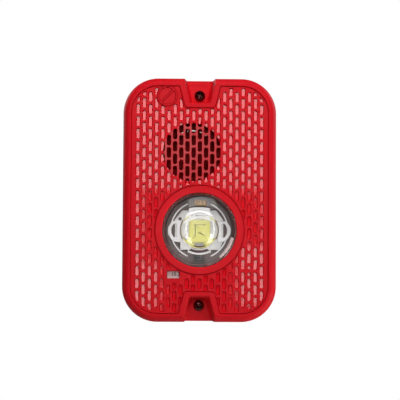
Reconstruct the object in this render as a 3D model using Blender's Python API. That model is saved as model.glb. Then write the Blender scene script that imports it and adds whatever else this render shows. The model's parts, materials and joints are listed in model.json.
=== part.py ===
"""Wall horn strobe for a fire alarm: a wall plate with its terminals, and the sounder and strobe on it.

Every length below is in millimetres, and the meshes are made in metres. +Z is up and +X is to the right of
someone who faces the device. The wall is the plane Y = 0 and the device stands out from it along -Y, so "out"
in a name is the distance from the wall. The origin is the centre of the wall plate's back face."""

import math

import bmesh
import bpy
from mathutils import Vector

MM = 0.001
GAP = 0.3  # between two pieces that touch

# Cover
BODY_WIDTH = 86.0
BODY_HEIGHT = 136.0
BODY_CORNER = 20.0
CORNER_STEPS = 8
COVER_BACK_OUT = 1.0
SHOULDER_OUT = 25.4
RIM_OUT = 32.0
PANEL_OUT = 31.5
SIDE_DRAFT = 0.45
SHOULDER_WIDTH = 4.3
SHOULDER_STEPS = 4
RIM_BAND = 5.0
WALL = 2.2
PANEL_BACK_OUT = 29.3

# Scoops for the mounting screws, at the middle of the top and bottom edges
SCREW_HEIGHT = 59.0
SCOOP_FLOOR_OUT = 18.0
SCOOP_FLOOR_END = 55.4
SCOOP_FLOOR_HALF = 4.2
SCOOP_MOUTH_END = 53.0
SCOOP_MOUTH_HALF = 5.5
SCOOP_TOP = 72.0
SCOOP_FLOOR_TOP_HALF = 8.6
SCOOP_MOUTH_TOP_HALF = 10.5
SCOOP_CORNER = 1.6

# Strobe
LENS_Z = -16.8
LENS_RADIUS = 20.2
LENS_OPENING = 20.5
LENS_RING = 24.4
LENS_RING_OUT = 31.9
LENS_FLANGE = 21.9
LENS_TOP_RADIUS = 15.2
LENS_TOP_OUT = 41.0
LENS_WALL = 1.6
TRAY_FLOOR_OUT = 17.9
TRAY_FLOOR_THICK = 1.6
DOME_SIDES = 44
LED_BOARD_WIDTH = 26.8
LED_BOARD_HEIGHT = 21.8
LED_BOARD_CUT_X = 3.4
LED_BOARD_CUT_Z = 5.0
LED_BOARD_THICK = 1.6
LED_SIDE = 9.6
LED_THICK = 1.3
OPTIC_RADIUS = 9.6
OPTIC_FLANGE = 15.1
OPTIC_TOP_OUT = 34.0
OPTIC_WING_X = 17.1
OPTIC_WING_Z = 12.6
OPTIC_WING_HALF = 5.4

# Horn
HORN_X = -4.2
HORN_Z = 26.1
HORN_RADIUS = 16.1
COLUMN_SPACING = 3.41
ROW_PITCH = 6.845
EVEN_ROW_Z = 1.76
SLOT_WIDTH = 2.45
SLOT_LENGTH = 5.4
SLOT_CORNER = 0.65
CUP_RADIUS = 17.4
CUP_WALL = 1.4
CUP_BACK_OUT = 16.3
CUP_SIDES = 36
DIAPHRAGM_OUT = 20.6
DIAPHRAGM_RADIUS = 15.0
CERAMIC_RADIUS = 10.5

# Light output selector and its window
WINDOW_X = -14.3
WINDOW_Z = -41.4
WINDOW_WIDTH = 6.7
WINDOW_HEIGHT = 3.9
SELECTOR_PITCH = 3.4
SELECTOR_POSITIONS = 7
SELECTOR_TRAVEL = SELECTOR_PITCH * (SELECTOR_POSITIONS - 1)
STRIP_MARGIN = 3.45
STRIP_OUT = 27.4
STRIP_THICK = 1.2
STRIP_HEIGHT = 4.2
ARM_X = -3.0
ARM_WIDTH = 4.0
ARM_HEIGHT = 3.0
SWITCH_BACK_OUT = 10.7
SWITCH_FRONT_OUT = 16.0
SWITCH_HALF = 4.4

# Tone selector on the back
TONE_X = 26.0
TONE_Z = 10.0
TONE_BODY = 10.0
TONE_ROTOR_RADIUS = 3.2

# Circuit board
BOARD_OUT = 14.4
BOARD_THICK = 1.6
BOARD_HALF_WIDTH = 36.5
BOARD_TOP = 46.0
BOARD_BOTTOM = -35.0
BOARD_CORNER = 4.0
BOARD_HOLE = 1.5

# Back cover
BACK_OUT = 8.4
BACK_THICK = 2.0
BACK_SETBACK = 3.0
CASE_SCREW_X = 33.0
CASE_SCREW_Z = 51.0
CASE_BOSS_RADIUS = 3.4
CASE_SCREW_RADIUS = 1.3
CASE_HEAD_RADIUS = 2.6

# Wall plate
PLATE_WIDTH = 79.6
PLATE_HEIGHT = 129.6
PLATE_CORNER = 16.8
PLATE_THICK = 2.4
PLATE_WALL = 1.6
PLATE_WALL_OUT = 7.6
POST_RADIUS = 4.2
POST_BORE = 2.05
POST_OUT = 8.6
GANG_SPACING = 83.3
TWO_GANG_SPACING = 46.0
FIXING_SLOT_WIDTH = 4.0
FIXING_SLOT_LENGTH = 8.0
WIRE_OPENING_HALF = 16.0
WIRE_OPENING_BOTTOM = 6.0
WIRE_OPENING_TOP = 27.0

# Terminals
TERMINALS = 4
TERMINAL_PITCH = 9.6
BLOCK_HALF_WIDTH = 20.6
BLOCK_BOTTOM = -17.0
BLOCK_TOP = 4.0
BLOCK_OUT = 12.4
BLOCK_ROOM = 1.4
TERMINAL_SCREW_Z = -1.6
BLADE_Z = -12.0
BLADE_THICK = 0.8
BLADE_WIDTH = 4.0
WIRE_HOLE = 3.6

# Mounting screws
SCREW_SHAFT = 1.75
SCREW_HEAD = 3.0
SCREW_HEAD_THICK = 2.3
SCREW_TIP_OUT = 5.0
WASHER_OUT = 10.6
WASHER_THICK = 0.5
WASHER_RADIUS = 3.3

# Colours, as red, green and blue from 0 to 1
RED = (0.55, 0.012, 0.02)
BLACK = (0.02, 0.02, 0.022)
WHITE = (0.8, 0.8, 0.78)
GREEN = (0.02, 0.16, 0.07)
STEEL = (0.6, 0.6, 0.62)
BRASS = (0.72, 0.52, 0.22)
COPPER = (0.7, 0.3, 0.15)
YELLOW = (0.85, 0.78, 0.12)
CLEAR = (0.95, 0.95, 0.95)
GREY = (0.3, 0.3, 0.31)


def clear_scene():
    for thing in list(bpy.data.objects):
        bpy.data.objects.remove(thing, do_unlink=True)


def material(name, colour, roughness=0.5, metallic=0.0, transmission=0.0):
    made = bpy.data.materials.get(name)
    if made:
        return made
    made = bpy.data.materials.new(name)
    made.use_nodes = True
    shader = made.node_tree.nodes["Principled BSDF"]
    shader.inputs["Base Color"].default_value = (*colour, 1.0)
    shader.inputs["Roughness"].default_value = roughness
    shader.inputs["Metallic"].default_value = metallic
    shader.inputs["Transmission Weight"].default_value = transmission
    made.diffuse_color = (*colour, 1.0)
    return made


def red_plastic():
    return material("red_plastic", RED, 0.42)


def black_plastic():
    return material("black_plastic", BLACK, 0.5)


def clear_plastic():
    return material("clear_plastic", CLEAR, 0.05, 0.0, 1.0)


def steel():
    return material("plated_steel", STEEL, 0.3, 1.0)


def brass():
    return material("brass", BRASS, 0.3, 1.0)


def rounded_outline(half_x, half_z, corner, steps=CORNER_STEPS, middle_x=0.0, middle_z=0.0):
    """Points (x, z) round a rectangle with round corners, anticlockwise for someone who faces the device."""
    points = []
    quarters = ((1, 1, 0.0), (-1, 1, 90.0), (-1, -1, 180.0), (1, -1, 270.0))
    for side_x, side_z, start in quarters:
        for step in range(steps + 1):
            angle = math.radians(start + 90.0 * step / steps)
            x = middle_x + side_x * (half_x - corner) + corner * math.cos(angle)
            z = middle_z + side_z * (half_z - corner) + corner * math.sin(angle)
            points.append((x, z))
    return points


def circle_outline(radius, sides=32, middle_x=0.0, middle_z=0.0):
    turns = [2 * math.pi * side / sides for side in range(sides)]
    return [(middle_x + radius * math.cos(turn), middle_z + radius * math.sin(turn)) for turn in turns]


def box_outline(low_x, high_x, low_z, high_z):
    return [(high_x, low_z), (high_x, high_z), (low_x, high_z), (low_x, low_z)]


def add_loft(mesh, sections):
    """Adds one closed body through (out, outline) pairs, back to front, with equal numbers of points."""
    rings = []
    for out, outline in sections:
        rings.append([mesh.verts.new((x * MM, -out * MM, z * MM)) for x, z in outline])
    count = len(rings[0])
    for back, front in zip(rings, rings[1:]):
        for i in range(count):
            j = (i + 1) % count
            mesh.faces.new((back[i], back[j], front[j], front[i]))
    mesh.faces.new(list(reversed(rings[0])))
    mesh.faces.new(rings[-1])


def add_prism(mesh, outline, back_out, front_out):
    add_loft(mesh, ((back_out, outline), (front_out, outline)))


def add_box(mesh, low_x, high_x, back_out, front_out, low_z, high_z):
    add_prism(mesh, box_outline(low_x, high_x, low_z, high_z), back_out, front_out)


def add_turned(mesh, profile, sides=32, middle_x=0.0, middle_z=0.0):
    """Adds one closed body turned about an axis along Y, from (radius, out) pairs, back to front."""
    add_loft(mesh, [(out, circle_outline(radius, sides, middle_x, middle_z)) for radius, out in profile])


def add_cylinder(mesh, radius, back, front, sides, x, z):
    add_turned(mesh, ((radius, back), (radius, front)), sides, x, z)


def piece(name, mesh, finish, smooth_degrees=30.0, origin=(0.0, 0.0, 0.0)):
    """Makes the named object from a bmesh in the shared frame. The origin is x, out and z."""
    place = Vector((origin[0] * MM, -origin[1] * MM, origin[2] * MM))
    bmesh.ops.translate(mesh, verts=mesh.verts, vec=-place)
    bmesh.ops.recalc_face_normals(mesh, faces=mesh.faces)
    data = bpy.data.meshes.new(name)
    mesh.to_mesh(data)
    mesh.free()
    made = bpy.data.objects.new(name, data)
    made.location = place
    bpy.context.scene.collection.objects.link(made)
    if finish:
        data.materials.append(finish)
        data.shade_smooth()
        data.set_sharp_from_angle(angle=math.radians(smooth_degrees))
    return made


def combine(target, mesh, operation):
    """Joins the bodies of a bmesh to the object, or cuts them from it."""
    tool = piece(target.name + "_tool", mesh, None)
    tool.hide_render = True
    tool.display_type = "WIRE"
    modifier = target.modifiers.new(operation.lower(), "BOOLEAN")
    modifier.object = tool
    modifier.operation = operation
    modifier.solver = "EXACT"
    bpy.context.view_layer.update()
    graph = bpy.context.evaluated_depsgraph_get()
    result = bpy.data.meshes.new_from_object(target.evaluated_get(graph))
    target.modifiers.remove(modifier)
    old = target.data
    target.data = result
    bpy.data.meshes.remove(old)
    bpy.data.objects.remove(tool, do_unlink=True)
    result.set_sharp_from_angle(angle=math.radians(30.0))


def join(target, mesh):
    combine(target, mesh, "UNION")


def cut(target, mesh):
    combine(target, mesh, "DIFFERENCE")


def body_outline(inset):
    half_x = BODY_WIDTH / 2 - inset
    half_z = BODY_HEIGHT / 2 - inset
    return rounded_outline(half_x, half_z, BODY_CORNER - inset)


def cover_sections():
    """The cover's outer skin: drafted sides, a round shoulder, a flat rim and a panel just below the rim."""
    sections = [(COVER_BACK_OUT, body_outline(0.0))]
    for step in range(SHOULDER_STEPS + 1):
        angle = math.radians(90.0 * step / SHOULDER_STEPS)
        inset = SIDE_DRAFT + SHOULDER_WIDTH * (1 - math.cos(angle))
        out = SHOULDER_OUT + (RIM_OUT - SHOULDER_OUT) * math.sin(angle)
        sections.append((out, body_outline(inset)))
    sections.append((PANEL_OUT, body_outline(RIM_BAND)))
    return sections


def cavity_sections():
    return [
        (-1.0, body_outline(WALL)),
        (SHOULDER_OUT - 2.0, body_outline(WALL + SIDE_DRAFT)),
        (SHOULDER_OUT + 2.0, body_outline(WALL + SIDE_DRAFT + 1.0)),
        (PANEL_BACK_OUT, body_outline(WALL + SIDE_DRAFT + 3.6)),
    ]


def scoop_outline(side, end, end_half, top_half, grow=0.0):
    """A wedge that widens towards the top or bottom edge, with its two inner corners cut off."""
    right = [
        (top_half + grow, SCOOP_TOP),
        (end_half + grow, end - grow + SCOOP_CORNER),
        (end_half + grow - SCOOP_CORNER, end - grow),
    ]
    points = right + [(-x, z) for x, z in reversed(right)]
    if side < 0:
        return [(x, -z) for x, z in reversed(points)]
    return points


def add_scoop(mesh, side):
    floor = scoop_outline(side, SCOOP_FLOOR_END, SCOOP_FLOOR_HALF, SCOOP_FLOOR_TOP_HALF)
    mouth = scoop_outline(side, SCOOP_MOUTH_END, SCOOP_MOUTH_HALF, SCOOP_MOUTH_TOP_HALF)
    add_loft(mesh, ((SCOOP_FLOOR_OUT, floor), (RIM_OUT + 1.0, mouth)))


def scoop_well(side):
    """The material round a scoop, inside the cover."""
    mesh = bmesh.new()
    low = scoop_outline(side, SCOOP_FLOOR_END, SCOOP_FLOOR_HALF, SCOOP_FLOOR_TOP_HALF, WALL)
    high = scoop_outline(side, SCOOP_MOUTH_END, SCOOP_MOUTH_HALF, SCOOP_MOUTH_TOP_HALF, WALL)
    inside = side * (BODY_HEIGHT / 2 - WALL + 0.6)
    low = [(x, math.copysign(min(abs(z), abs(inside)), side)) for x, z in low]
    high = [(x, math.copysign(min(abs(z), abs(inside) - 3.0), side)) for x, z in high]
    add_loft(mesh, ((SCOOP_FLOOR_OUT - WALL, low), (PANEL_BACK_OUT + 0.8, high)))
    return mesh


def horn_slot_spans():
    """(x, low z, high z) of each slot of the lattice inside the horn's circle, cut short at the circle."""
    spans = []
    for column in range(-7, 8):
        x = column * COLUMN_SPACING
        side = abs(x - HORN_X) + SLOT_WIDTH / 2
        if side >= HORN_RADIUS:
            continue
        chord = math.sqrt(HORN_RADIUS ** 2 - side ** 2)
        offset = ROW_PITCH / 2 if column % 2 else 0.0
        for row in range(-2, 9):
            z = EVEN_ROW_Z + offset + row * ROW_PITCH
            low = max(z - SLOT_LENGTH / 2, HORN_Z - chord)
            high = min(z + SLOT_LENGTH / 2, HORN_Z + chord)
            if high - low >= SLOT_WIDTH:
                spans.append((x, low, high))
    return spans


def horn_slots():
    mesh = bmesh.new()
    for x, low, high in horn_slot_spans():
        outline = rounded_outline(
            SLOT_WIDTH / 2, (high - low) / 2, SLOT_CORNER, 2, x, (high + low) / 2
        )
        add_prism(mesh, outline, PANEL_BACK_OUT - 2.0, RIM_OUT + 1.0)
    return mesh


def cover_bosses():
    """Posts for the case screws, running back from the panel to the back cover."""
    mesh = bmesh.new()
    for side_x in (-1, 1):
        for side_z in (-1, 1):
            back, front = BACK_OUT + BACK_THICK + GAP, PANEL_BACK_OUT + 0.8
            profile = ((CASE_BOSS_RADIUS, back), (CASE_BOSS_RADIUS, front))
            add_turned(mesh, profile, 16, side_x * CASE_SCREW_X, side_z * CASE_SCREW_Z)
    return mesh


def boss_bores():
    mesh = bmesh.new()
    for side_x in (-1, 1):
        for side_z in (-1, 1):
            bore, front = CASE_SCREW_RADIUS + GAP, BACK_OUT + BACK_THICK + 10.0
            profile = ((bore, BACK_OUT), (bore, front))
            add_turned(mesh, profile, 12, side_x * CASE_SCREW_X, side_z * CASE_SCREW_Z)
    return mesh


def strip_relief():
    """A pocket in the cover's left wall that takes the end of the selector's strip at its last position."""
    mesh = bmesh.new()
    low_x = WINDOW_X - STRIP_MARGIN - SELECTOR_TRAVEL - 1.0
    half = STRIP_HEIGHT / 2 + 0.6
    add_box(mesh, low_x, low_x + 8.0, STRIP_OUT - 0.6, PANEL_BACK_OUT, WINDOW_Z - half, WINDOW_Z + half)
    return mesh


def make_front_cover():
    mesh = bmesh.new()
    add_loft(mesh, cover_sections())
    cover = piece("front_cover", mesh, red_plastic())
    mesh = bmesh.new()
    add_loft(mesh, cavity_sections())
    cut(cover, mesh)
    join(cover, scoop_well(1))
    join(cover, scoop_well(-1))
    join(cover, cover_bosses())
    mesh = bmesh.new()
    add_cylinder(mesh, LENS_RING, PANEL_BACK_OUT + 0.5, LENS_RING_OUT, DOME_SIDES, 0.0, LENS_Z)
    join(cover, mesh)
    mesh = bmesh.new()
    add_scoop(mesh, 1)
    add_scoop(mesh, -1)
    cut(cover, mesh)
    mesh = bmesh.new()
    back, front = PANEL_BACK_OUT - 2.0, RIM_OUT + 2.0
    add_cylinder(mesh, LENS_OPENING, back, front, DOME_SIDES, 0.0, LENS_Z)
    low_x = WINDOW_X - WINDOW_WIDTH / 2
    low_z = WINDOW_Z - WINDOW_HEIGHT / 2
    add_box(mesh, low_x, low_x + WINDOW_WIDTH, back, front, low_z, low_z + WINDOW_HEIGHT)
    for side in (-1, 1):
        bore = SCREW_SHAFT + 0.45
        add_cylinder(mesh, bore, BACK_OUT, SCOOP_FLOOR_OUT + 2.0, 20, 0.0, side * SCREW_HEIGHT)
    cut(cover, mesh)
    cut(cover, boss_bores())
    cut(cover, horn_slots())
    cut(cover, strip_relief())
    return cover


def board_pegs():
    """Stepped pegs on the back cover that the circuit board is pushed on to."""
    mesh = bmesh.new()
    base = BACK_OUT + BACK_THICK - 0.8
    shoulder = BOARD_OUT - GAP
    tip = BOARD_HOLE - GAP
    profile = ((2.8, base), (2.8, shoulder), (tip, shoulder + 0.01), (tip, shoulder + 3.0))
    for x, z in board_hole_centres():
        add_turned(mesh, profile, 14, x, z)
    return mesh


def board_hole_centres():
    places = []
    for x in (-BOARD_HALF_WIDTH + 4.0, BOARD_HALF_WIDTH - 4.0):
        for z in (BOARD_BOTTOM + 4.0, BOARD_TOP - 4.0):
            places.append((x, z))
    return places


def make_back_cover():
    """The device's rear plate, open over the terminal block, the selectors and the wall plate's posts."""
    mesh = bmesh.new()
    add_prism(mesh, body_outline(BACK_SETBACK), BACK_OUT, BACK_OUT + BACK_THICK)
    cover = piece("back_cover", mesh, red_plastic())
    join(cover, board_pegs())
    back, front = BACK_OUT - 1.0, BACK_OUT + BACK_THICK + 1.0
    mesh = bmesh.new()
    half = BLOCK_HALF_WIDTH + BLOCK_ROOM
    add_box(mesh, -half, half, back, front, BLOCK_BOTTOM - BLOCK_ROOM, BLOCK_TOP + BLOCK_ROOM)
    high = ARM_X + ARM_WIDTH / 2 + 0.8
    low = ARM_X - SELECTOR_TRAVEL - ARM_WIDTH / 2 - 0.8
    half = ARM_HEIGHT / 2 + 0.5
    add_box(mesh, low, high, back, front, WINDOW_Z - half, WINDOW_Z + half)
    add_cylinder(mesh, TONE_ROTOR_RADIUS + 1.0, back, front, 24, TONE_X, TONE_Z)
    for side in (-1, 1):
        add_cylinder(mesh, POST_RADIUS + 1.0, back, front, 24, 0.0, side * SCREW_HEIGHT)
    for side_x in (-1, 1):
        for side_z in (-1, 1):
            bore = CASE_SCREW_RADIUS + GAP
            add_cylinder(mesh, bore, back, front, 12, side_x * CASE_SCREW_X, side_z * CASE_SCREW_Z)
    cut(cover, mesh)


def make_case_screws():
    count = 0
    for side_z in (1, -1):
        for side_x in (-1, 1):
            count += 1
            x, z = side_x * CASE_SCREW_X, side_z * CASE_SCREW_Z
            head_out = BACK_OUT - GAP
            mesh = bmesh.new()
            profile = (
                (CASE_HEAD_RADIUS - 0.5, head_out - 1.6),
                (CASE_HEAD_RADIUS, head_out - 1.0),
                (CASE_HEAD_RADIUS, head_out),
                (CASE_SCREW_RADIUS, head_out + 0.01),
                (CASE_SCREW_RADIUS, BACK_OUT + BACK_THICK + 8.0),
            )
            add_turned(mesh, profile, 16, x, z)
            screw = piece(f"case_screw_{count}", mesh, steel(), 30.0, (x, head_out, z))
            cut(screw, cross_recess(x, z, head_out - 2.0, head_out - 0.6, 1.6))


def cross_recess(x, z, back_out, front_out, half):
    """Two crossed wedges, as one body."""
    mesh = bmesh.new()
    thin = 0.28
    outline = [
        (half, -thin), (half, thin), (thin, thin), (thin, half), (-thin, half), (-thin, thin),
        (-half, thin), (-half, -thin), (-thin, -thin), (-thin, -half), (thin, -half), (thin, -thin),
    ]
    add_prism(mesh, [(x + dx, z + dz) for dx, dz in outline], back_out, front_out)
    return mesh


def lens_profile(inset):
    """The dome's skin from (radius, out) pairs: a leaning side, a round shoulder and a gently crowned top."""
    top = LENS_TOP_OUT - inset
    side = LENS_RADIUS - inset
    top_radius = LENS_TOP_RADIUS - inset
    return [
        (side, LENS_RING_OUT + 0.6),
        (side - 0.7, LENS_RING_OUT + 3.0),
        (top_radius + 2.2, top - 2.9),
        (top_radius + 0.9, top - 1.6),
        (top_radius - 0.6, top - 0.9),
        (top_radius - 5.0, top - 0.3),
        (top_radius - 10.0, top),
    ]


def make_lens():
    flange_front = PANEL_BACK_OUT - GAP
    flange_back = flange_front - 1.5
    mesh = bmesh.new()
    outer = [(LENS_FLANGE, flange_back), (LENS_FLANGE, flange_front), (LENS_RADIUS, flange_front + 0.01)]
    add_turned(mesh, outer + lens_profile(0.0), DOME_SIDES, 0.0, LENS_Z)
    lens = piece("lens", mesh, clear_plastic(), 40.0, (0.0, flange_back, LENS_Z))
    mesh = bmesh.new()
    hollow = [(LENS_RADIUS - LENS_WALL, flange_back - 1.0)] + lens_profile(LENS_WALL)
    add_turned(mesh, hollow, DOME_SIDES, 0.0, LENS_Z)
    cut(lens, mesh)


def make_strobe_tray():
    """The dark cup under the lens that the light board sits in."""
    rim = PANEL_BACK_OUT - GAP - 1.5 - GAP
    radius = LENS_FLANGE - 0.6
    mesh = bmesh.new()
    add_cylinder(mesh, radius, TRAY_FLOOR_OUT - TRAY_FLOOR_THICK, rim, DOME_SIDES, 0.0, LENS_Z)
    tray = piece("strobe_tray", mesh, material("tray_plastic", GREY, 0.45))
    mesh = bmesh.new()
    add_turned(mesh, ((radius - 3.4, TRAY_FLOOR_OUT), (radius - 1.6, rim + 1.0)), DOME_SIDES, 0.0, LENS_Z)
    cut(tray, mesh)


def make_led_board():
    """The white board: a rectangle with its four corners cut off, and a small hole at the upper left."""
    back = TRAY_FLOOR_OUT + GAP
    half_x, half_z = LED_BOARD_WIDTH / 2, LED_BOARD_HEIGHT / 2
    outline = []
    for side_x, side_z in ((1, 1), (-1, 1), (-1, -1), (1, -1)):
        on_side = (side_x * half_x, LENS_Z + side_z * (half_z - LED_BOARD_CUT_Z))
        on_end = (side_x * (half_x - LED_BOARD_CUT_X), LENS_Z + side_z * half_z)
        outline += [on_side, on_end] if side_x == side_z else [on_end, on_side]
    mesh = bmesh.new()
    add_prism(mesh, outline, back, back + LED_BOARD_THICK)
    board = piece("led_board", mesh, material("white_board", WHITE, 0.4))
    mesh = bmesh.new()
    add_cylinder(mesh, 0.8, back - 1.0, back + LED_BOARD_THICK + 1.0, 14, -10.3, LENS_Z + 6.2)
    cut(board, mesh)


def led_base_out():
    return TRAY_FLOOR_OUT + GAP + LED_BOARD_THICK + GAP


def make_led_emitter():
    base = led_base_out()
    half = LED_SIDE / 2
    mesh = bmesh.new()
    outer = rounded_outline(half, half, 1.2, 3, 0.0, LENS_Z)
    inner = rounded_outline(half - 0.7, half - 0.7, 1.0, 3, 0.0, LENS_Z)
    add_loft(mesh, ((base, outer), (base + LED_THICK - 0.3, outer), (base + LED_THICK, inner)))
    piece("led_emitter", mesh, material("led_phosphor", YELLOW, 0.35))


def make_led_optic():
    """The clear optic: a round dome on a thin disc, crossed by two bars, with an eye at each wide end."""
    base = led_base_out()
    disc_back, disc_front = base + 2.2, base + 3.4
    mesh = bmesh.new()
    profile = (
        (8.4, base),
        (8.4, disc_back),
        (OPTIC_FLANGE, disc_back + 0.01),
        (OPTIC_FLANGE, disc_front),
        (OPTIC_RADIUS, disc_front + 0.01),
        (OPTIC_RADIUS, OPTIC_TOP_OUT - 5.2),
        (8.6, OPTIC_TOP_OUT - 2.6),
        (6.0, OPTIC_TOP_OUT - 0.8),
        (2.4, OPTIC_TOP_OUT),
    )
    add_turned(mesh, profile, 40, 0.0, LENS_Z)
    optic = piece("led_optic", mesh, clear_plastic(), 30.0, (0.0, base, LENS_Z))
    mesh = bmesh.new()
    wide = rounded_outline(OPTIC_WING_X, OPTIC_WING_HALF, 4.6, 5, 0.0, LENS_Z)
    add_prism(mesh, wide, disc_back + 0.3, disc_front + 4.6)
    join(optic, mesh)
    mesh = bmesh.new()
    tall = rounded_outline(OPTIC_WING_HALF + 0.4, OPTIC_WING_Z, 2.4, 4, 0.0, LENS_Z)
    add_prism(mesh, tall, disc_back + 0.3, disc_front + 3.8)
    join(optic, mesh)
    mesh = bmesh.new()
    for side in (-1, 1):
        eye = rounded_outline(1.4, 3.4, 1.2, 3, side * (OPTIC_WING_X - 3.1), LENS_Z)
        add_prism(mesh, eye, base, disc_front + 6.0)
    hollow = LED_SIDE / 2 * math.sqrt(2) + 0.3
    roof = base + LED_THICK
    add_turned(mesh, ((hollow, base - 1.0), (hollow, roof + 0.4), (2.0, roof + 2.0)), 32, 0.0, LENS_Z)
    cut(optic, mesh)


def make_led_fittings():
    base = TRAY_FLOOR_OUT + GAP
    mesh = bmesh.new()
    middle = LENS_Z - 15.2
    add_box(mesh, -3.0, 3.0, base, base + 3.4, middle - 1.5, middle + 1.5)
    connector = piece("led_connector", mesh, black_plastic())
    mesh = bmesh.new()
    add_box(mesh, -2.2, 2.2, base + 1.4, base + 4.0, middle - 0.8, middle + 0.8)
    cut(connector, mesh)
    mesh = bmesh.new()
    middle = LENS_Z + 15.0
    outline = rounded_outline(3.6, 1.7, 0.6, 2, 0.8, middle)
    add_loft(mesh, ((base, outline), (base + 3.0, outline)))
    clip = piece("led_clip", mesh, brass())
    mesh = bmesh.new()
    add_box(mesh, -1.6, 3.2, base + 1.0, base + 4.0, middle - 0.6, middle + 0.6)
    cut(clip, mesh)


def make_horn_cup():
    """The sounder's cup, open towards the horn slots, with a ledge for the diaphragm."""
    front = PANEL_BACK_OUT - GAP
    mesh = bmesh.new()
    add_cylinder(mesh, CUP_RADIUS, CUP_BACK_OUT, front, CUP_SIDES, HORN_X, HORN_Z)
    cup = piece("horn_cup", mesh, black_plastic())
    inner = CUP_RADIUS - CUP_WALL
    ledge = DIAPHRAGM_OUT - GAP
    profile = (
        (DIAPHRAGM_RADIUS - 1.6, CUP_BACK_OUT + 1.2),
        (DIAPHRAGM_RADIUS - 1.6, ledge),
        (inner, ledge + 0.01),
        (inner, front + 1.0),
    )
    mesh = bmesh.new()
    add_turned(mesh, profile, CUP_SIDES, HORN_X, HORN_Z)
    cut(cup, mesh)
    mesh = bmesh.new()
    for side in (-1, 1):
        add_cylinder(mesh, 1.3, CUP_BACK_OUT - 1.0, CUP_BACK_OUT + 3.0, 12, HORN_X + side * 6.0, HORN_Z)
    cut(cup, mesh)


def make_piezo():
    mesh = bmesh.new()
    add_cylinder(mesh, DIAPHRAGM_RADIUS, DIAPHRAGM_OUT, DIAPHRAGM_OUT + 0.4, CUP_SIDES, HORN_X, HORN_Z)
    piece("piezo_diaphragm", mesh, brass())
    back = DIAPHRAGM_OUT + 0.4 + GAP
    mesh = bmesh.new()
    add_cylinder(mesh, CERAMIC_RADIUS, back, back + 0.4, 32, HORN_X, HORN_Z)
    piece("piezo_ceramic", mesh, material("ceramic", WHITE, 0.3))
    clamp_back = DIAPHRAGM_OUT + 0.4 + GAP
    outer = CUP_RADIUS - CUP_WALL - GAP
    mesh = bmesh.new()
    add_cylinder(mesh, outer, clamp_back, clamp_back + 2.0, CUP_SIDES, HORN_X, HORN_Z)
    ring = piece("horn_clamp_ring", mesh, black_plastic())
    mesh = bmesh.new()
    add_turned(mesh, ((12.4, clamp_back - 1.0), (13.6, clamp_back + 3.0)), CUP_SIDES, HORN_X, HORN_Z)
    cut(ring, mesh)
    for number, side in ((1, -1), (2, 1)):
        mesh = bmesh.new()
        x = HORN_X + side * 6.0
        profile = ((0.9, BOARD_OUT + BOARD_THICK + GAP), (0.9, DIAPHRAGM_OUT - GAP))
        add_turned(mesh, profile, 12, x, HORN_Z)
        piece(f"piezo_contact_{number}", mesh, steel())


def make_main_board():
    mesh = bmesh.new()
    half_z = (BOARD_TOP - BOARD_BOTTOM) / 2
    outline = rounded_outline(BOARD_HALF_WIDTH, half_z, BOARD_CORNER, 4, 0.0, (BOARD_TOP + BOARD_BOTTOM) / 2)
    add_prism(mesh, outline, BOARD_OUT, BOARD_OUT + BOARD_THICK)
    board = piece("main_board", mesh, material("green_board", GREEN, 0.35))
    mesh = bmesh.new()
    for x, z in board_hole_centres():
        add_cylinder(mesh, BOARD_HOLE, BOARD_OUT - 1.0, BOARD_OUT + BOARD_THICK + 1.0, 14, x, z)
    cut(board, mesh)


def make_board_parts():
    front = BOARD_OUT + BOARD_THICK + GAP
    x, z = 26.0, 30.0
    mesh = bmesh.new()
    core = (
        (6.0, front),
        (6.0, front + 1.2),
        (2.9, front + 1.21),
        (2.9, front + 6.8),
        (6.0, front + 6.81),
        (6.0, front + 8.0),
    )
    add_turned(mesh, core, 24, x, z)
    piece("inductor_core", mesh, material("ferrite", BLACK, 0.6))
    mesh = bmesh.new()
    add_cylinder(mesh, 5.5, front + 1.2 + GAP, front + 6.8 - GAP, 24, x, z)
    winding = piece("inductor_winding", mesh, material("copper", COPPER, 0.35, 1.0))
    mesh = bmesh.new()
    add_cylinder(mesh, 2.9 + GAP, front, front + 8.0, 24, x, z)
    cut(winding, mesh)
    for number, z in ((1, -4.0), (2, 9.0)):
        mesh = bmesh.new()
        can = (
            (4.7, front),
            (4.7, front + 0.8),
            (4.4, front + 1.4),
            (4.7, front + 2.0),
            (4.7, front + 9.0),
            (4.2, front + 9.6),
        )
        add_turned(mesh, can, 24, 29.5, z)
        sleeve = material("capacitor_sleeve", BLACK, 0.35)
        piece(f"storage_capacitor_{number}", mesh, sleeve, 30.0, (29.5, front, z))
    chips = (
        ("control_chip", -29.0, 2.0, 5.0, 5.0, 1.4),
        ("driver_chip", -28.0, -16.0, 3.0, 4.0, 1.5),
        ("bridge_chip", 29.0, -20.0, 3.6, 3.0, 2.2),
    )
    for name, x, z, half_x, half_z, height in chips:
        mesh = bmesh.new()
        outline = rounded_outline(half_x, half_z, 0.4, 1, x, z)
        top = rounded_outline(half_x - 0.25, half_z - 0.25, 0.4, 1, x, z)
        add_loft(mesh, ((front, outline), (front + height / 2, outline), (front + height, top)))
        piece(name, mesh, material("chip_epoxy", BLACK, 0.45))


def terminal_x(number):
    return (number - (TERMINALS - 1) / 2) * TERMINAL_PITCH


def make_contact_blades():
    back = 5.6
    front = BOARD_OUT - GAP
    for number in range(TERMINALS):
        x = terminal_x(number)
        low, high = BLADE_Z - BLADE_WIDTH / 2, BLADE_Z + BLADE_WIDTH / 2
        mesh = bmesh.new()
        tip = box_outline(x - BLADE_THICK / 4, x + BLADE_THICK / 4, low + 0.6, high - 0.6)
        full = box_outline(x - BLADE_THICK / 2, x + BLADE_THICK / 2, low, high)
        add_loft(mesh, ((back, tip), (back + 1.2, full), (front, full)))
        piece(f"contact_blade_{number + 1}", mesh, brass())


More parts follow.
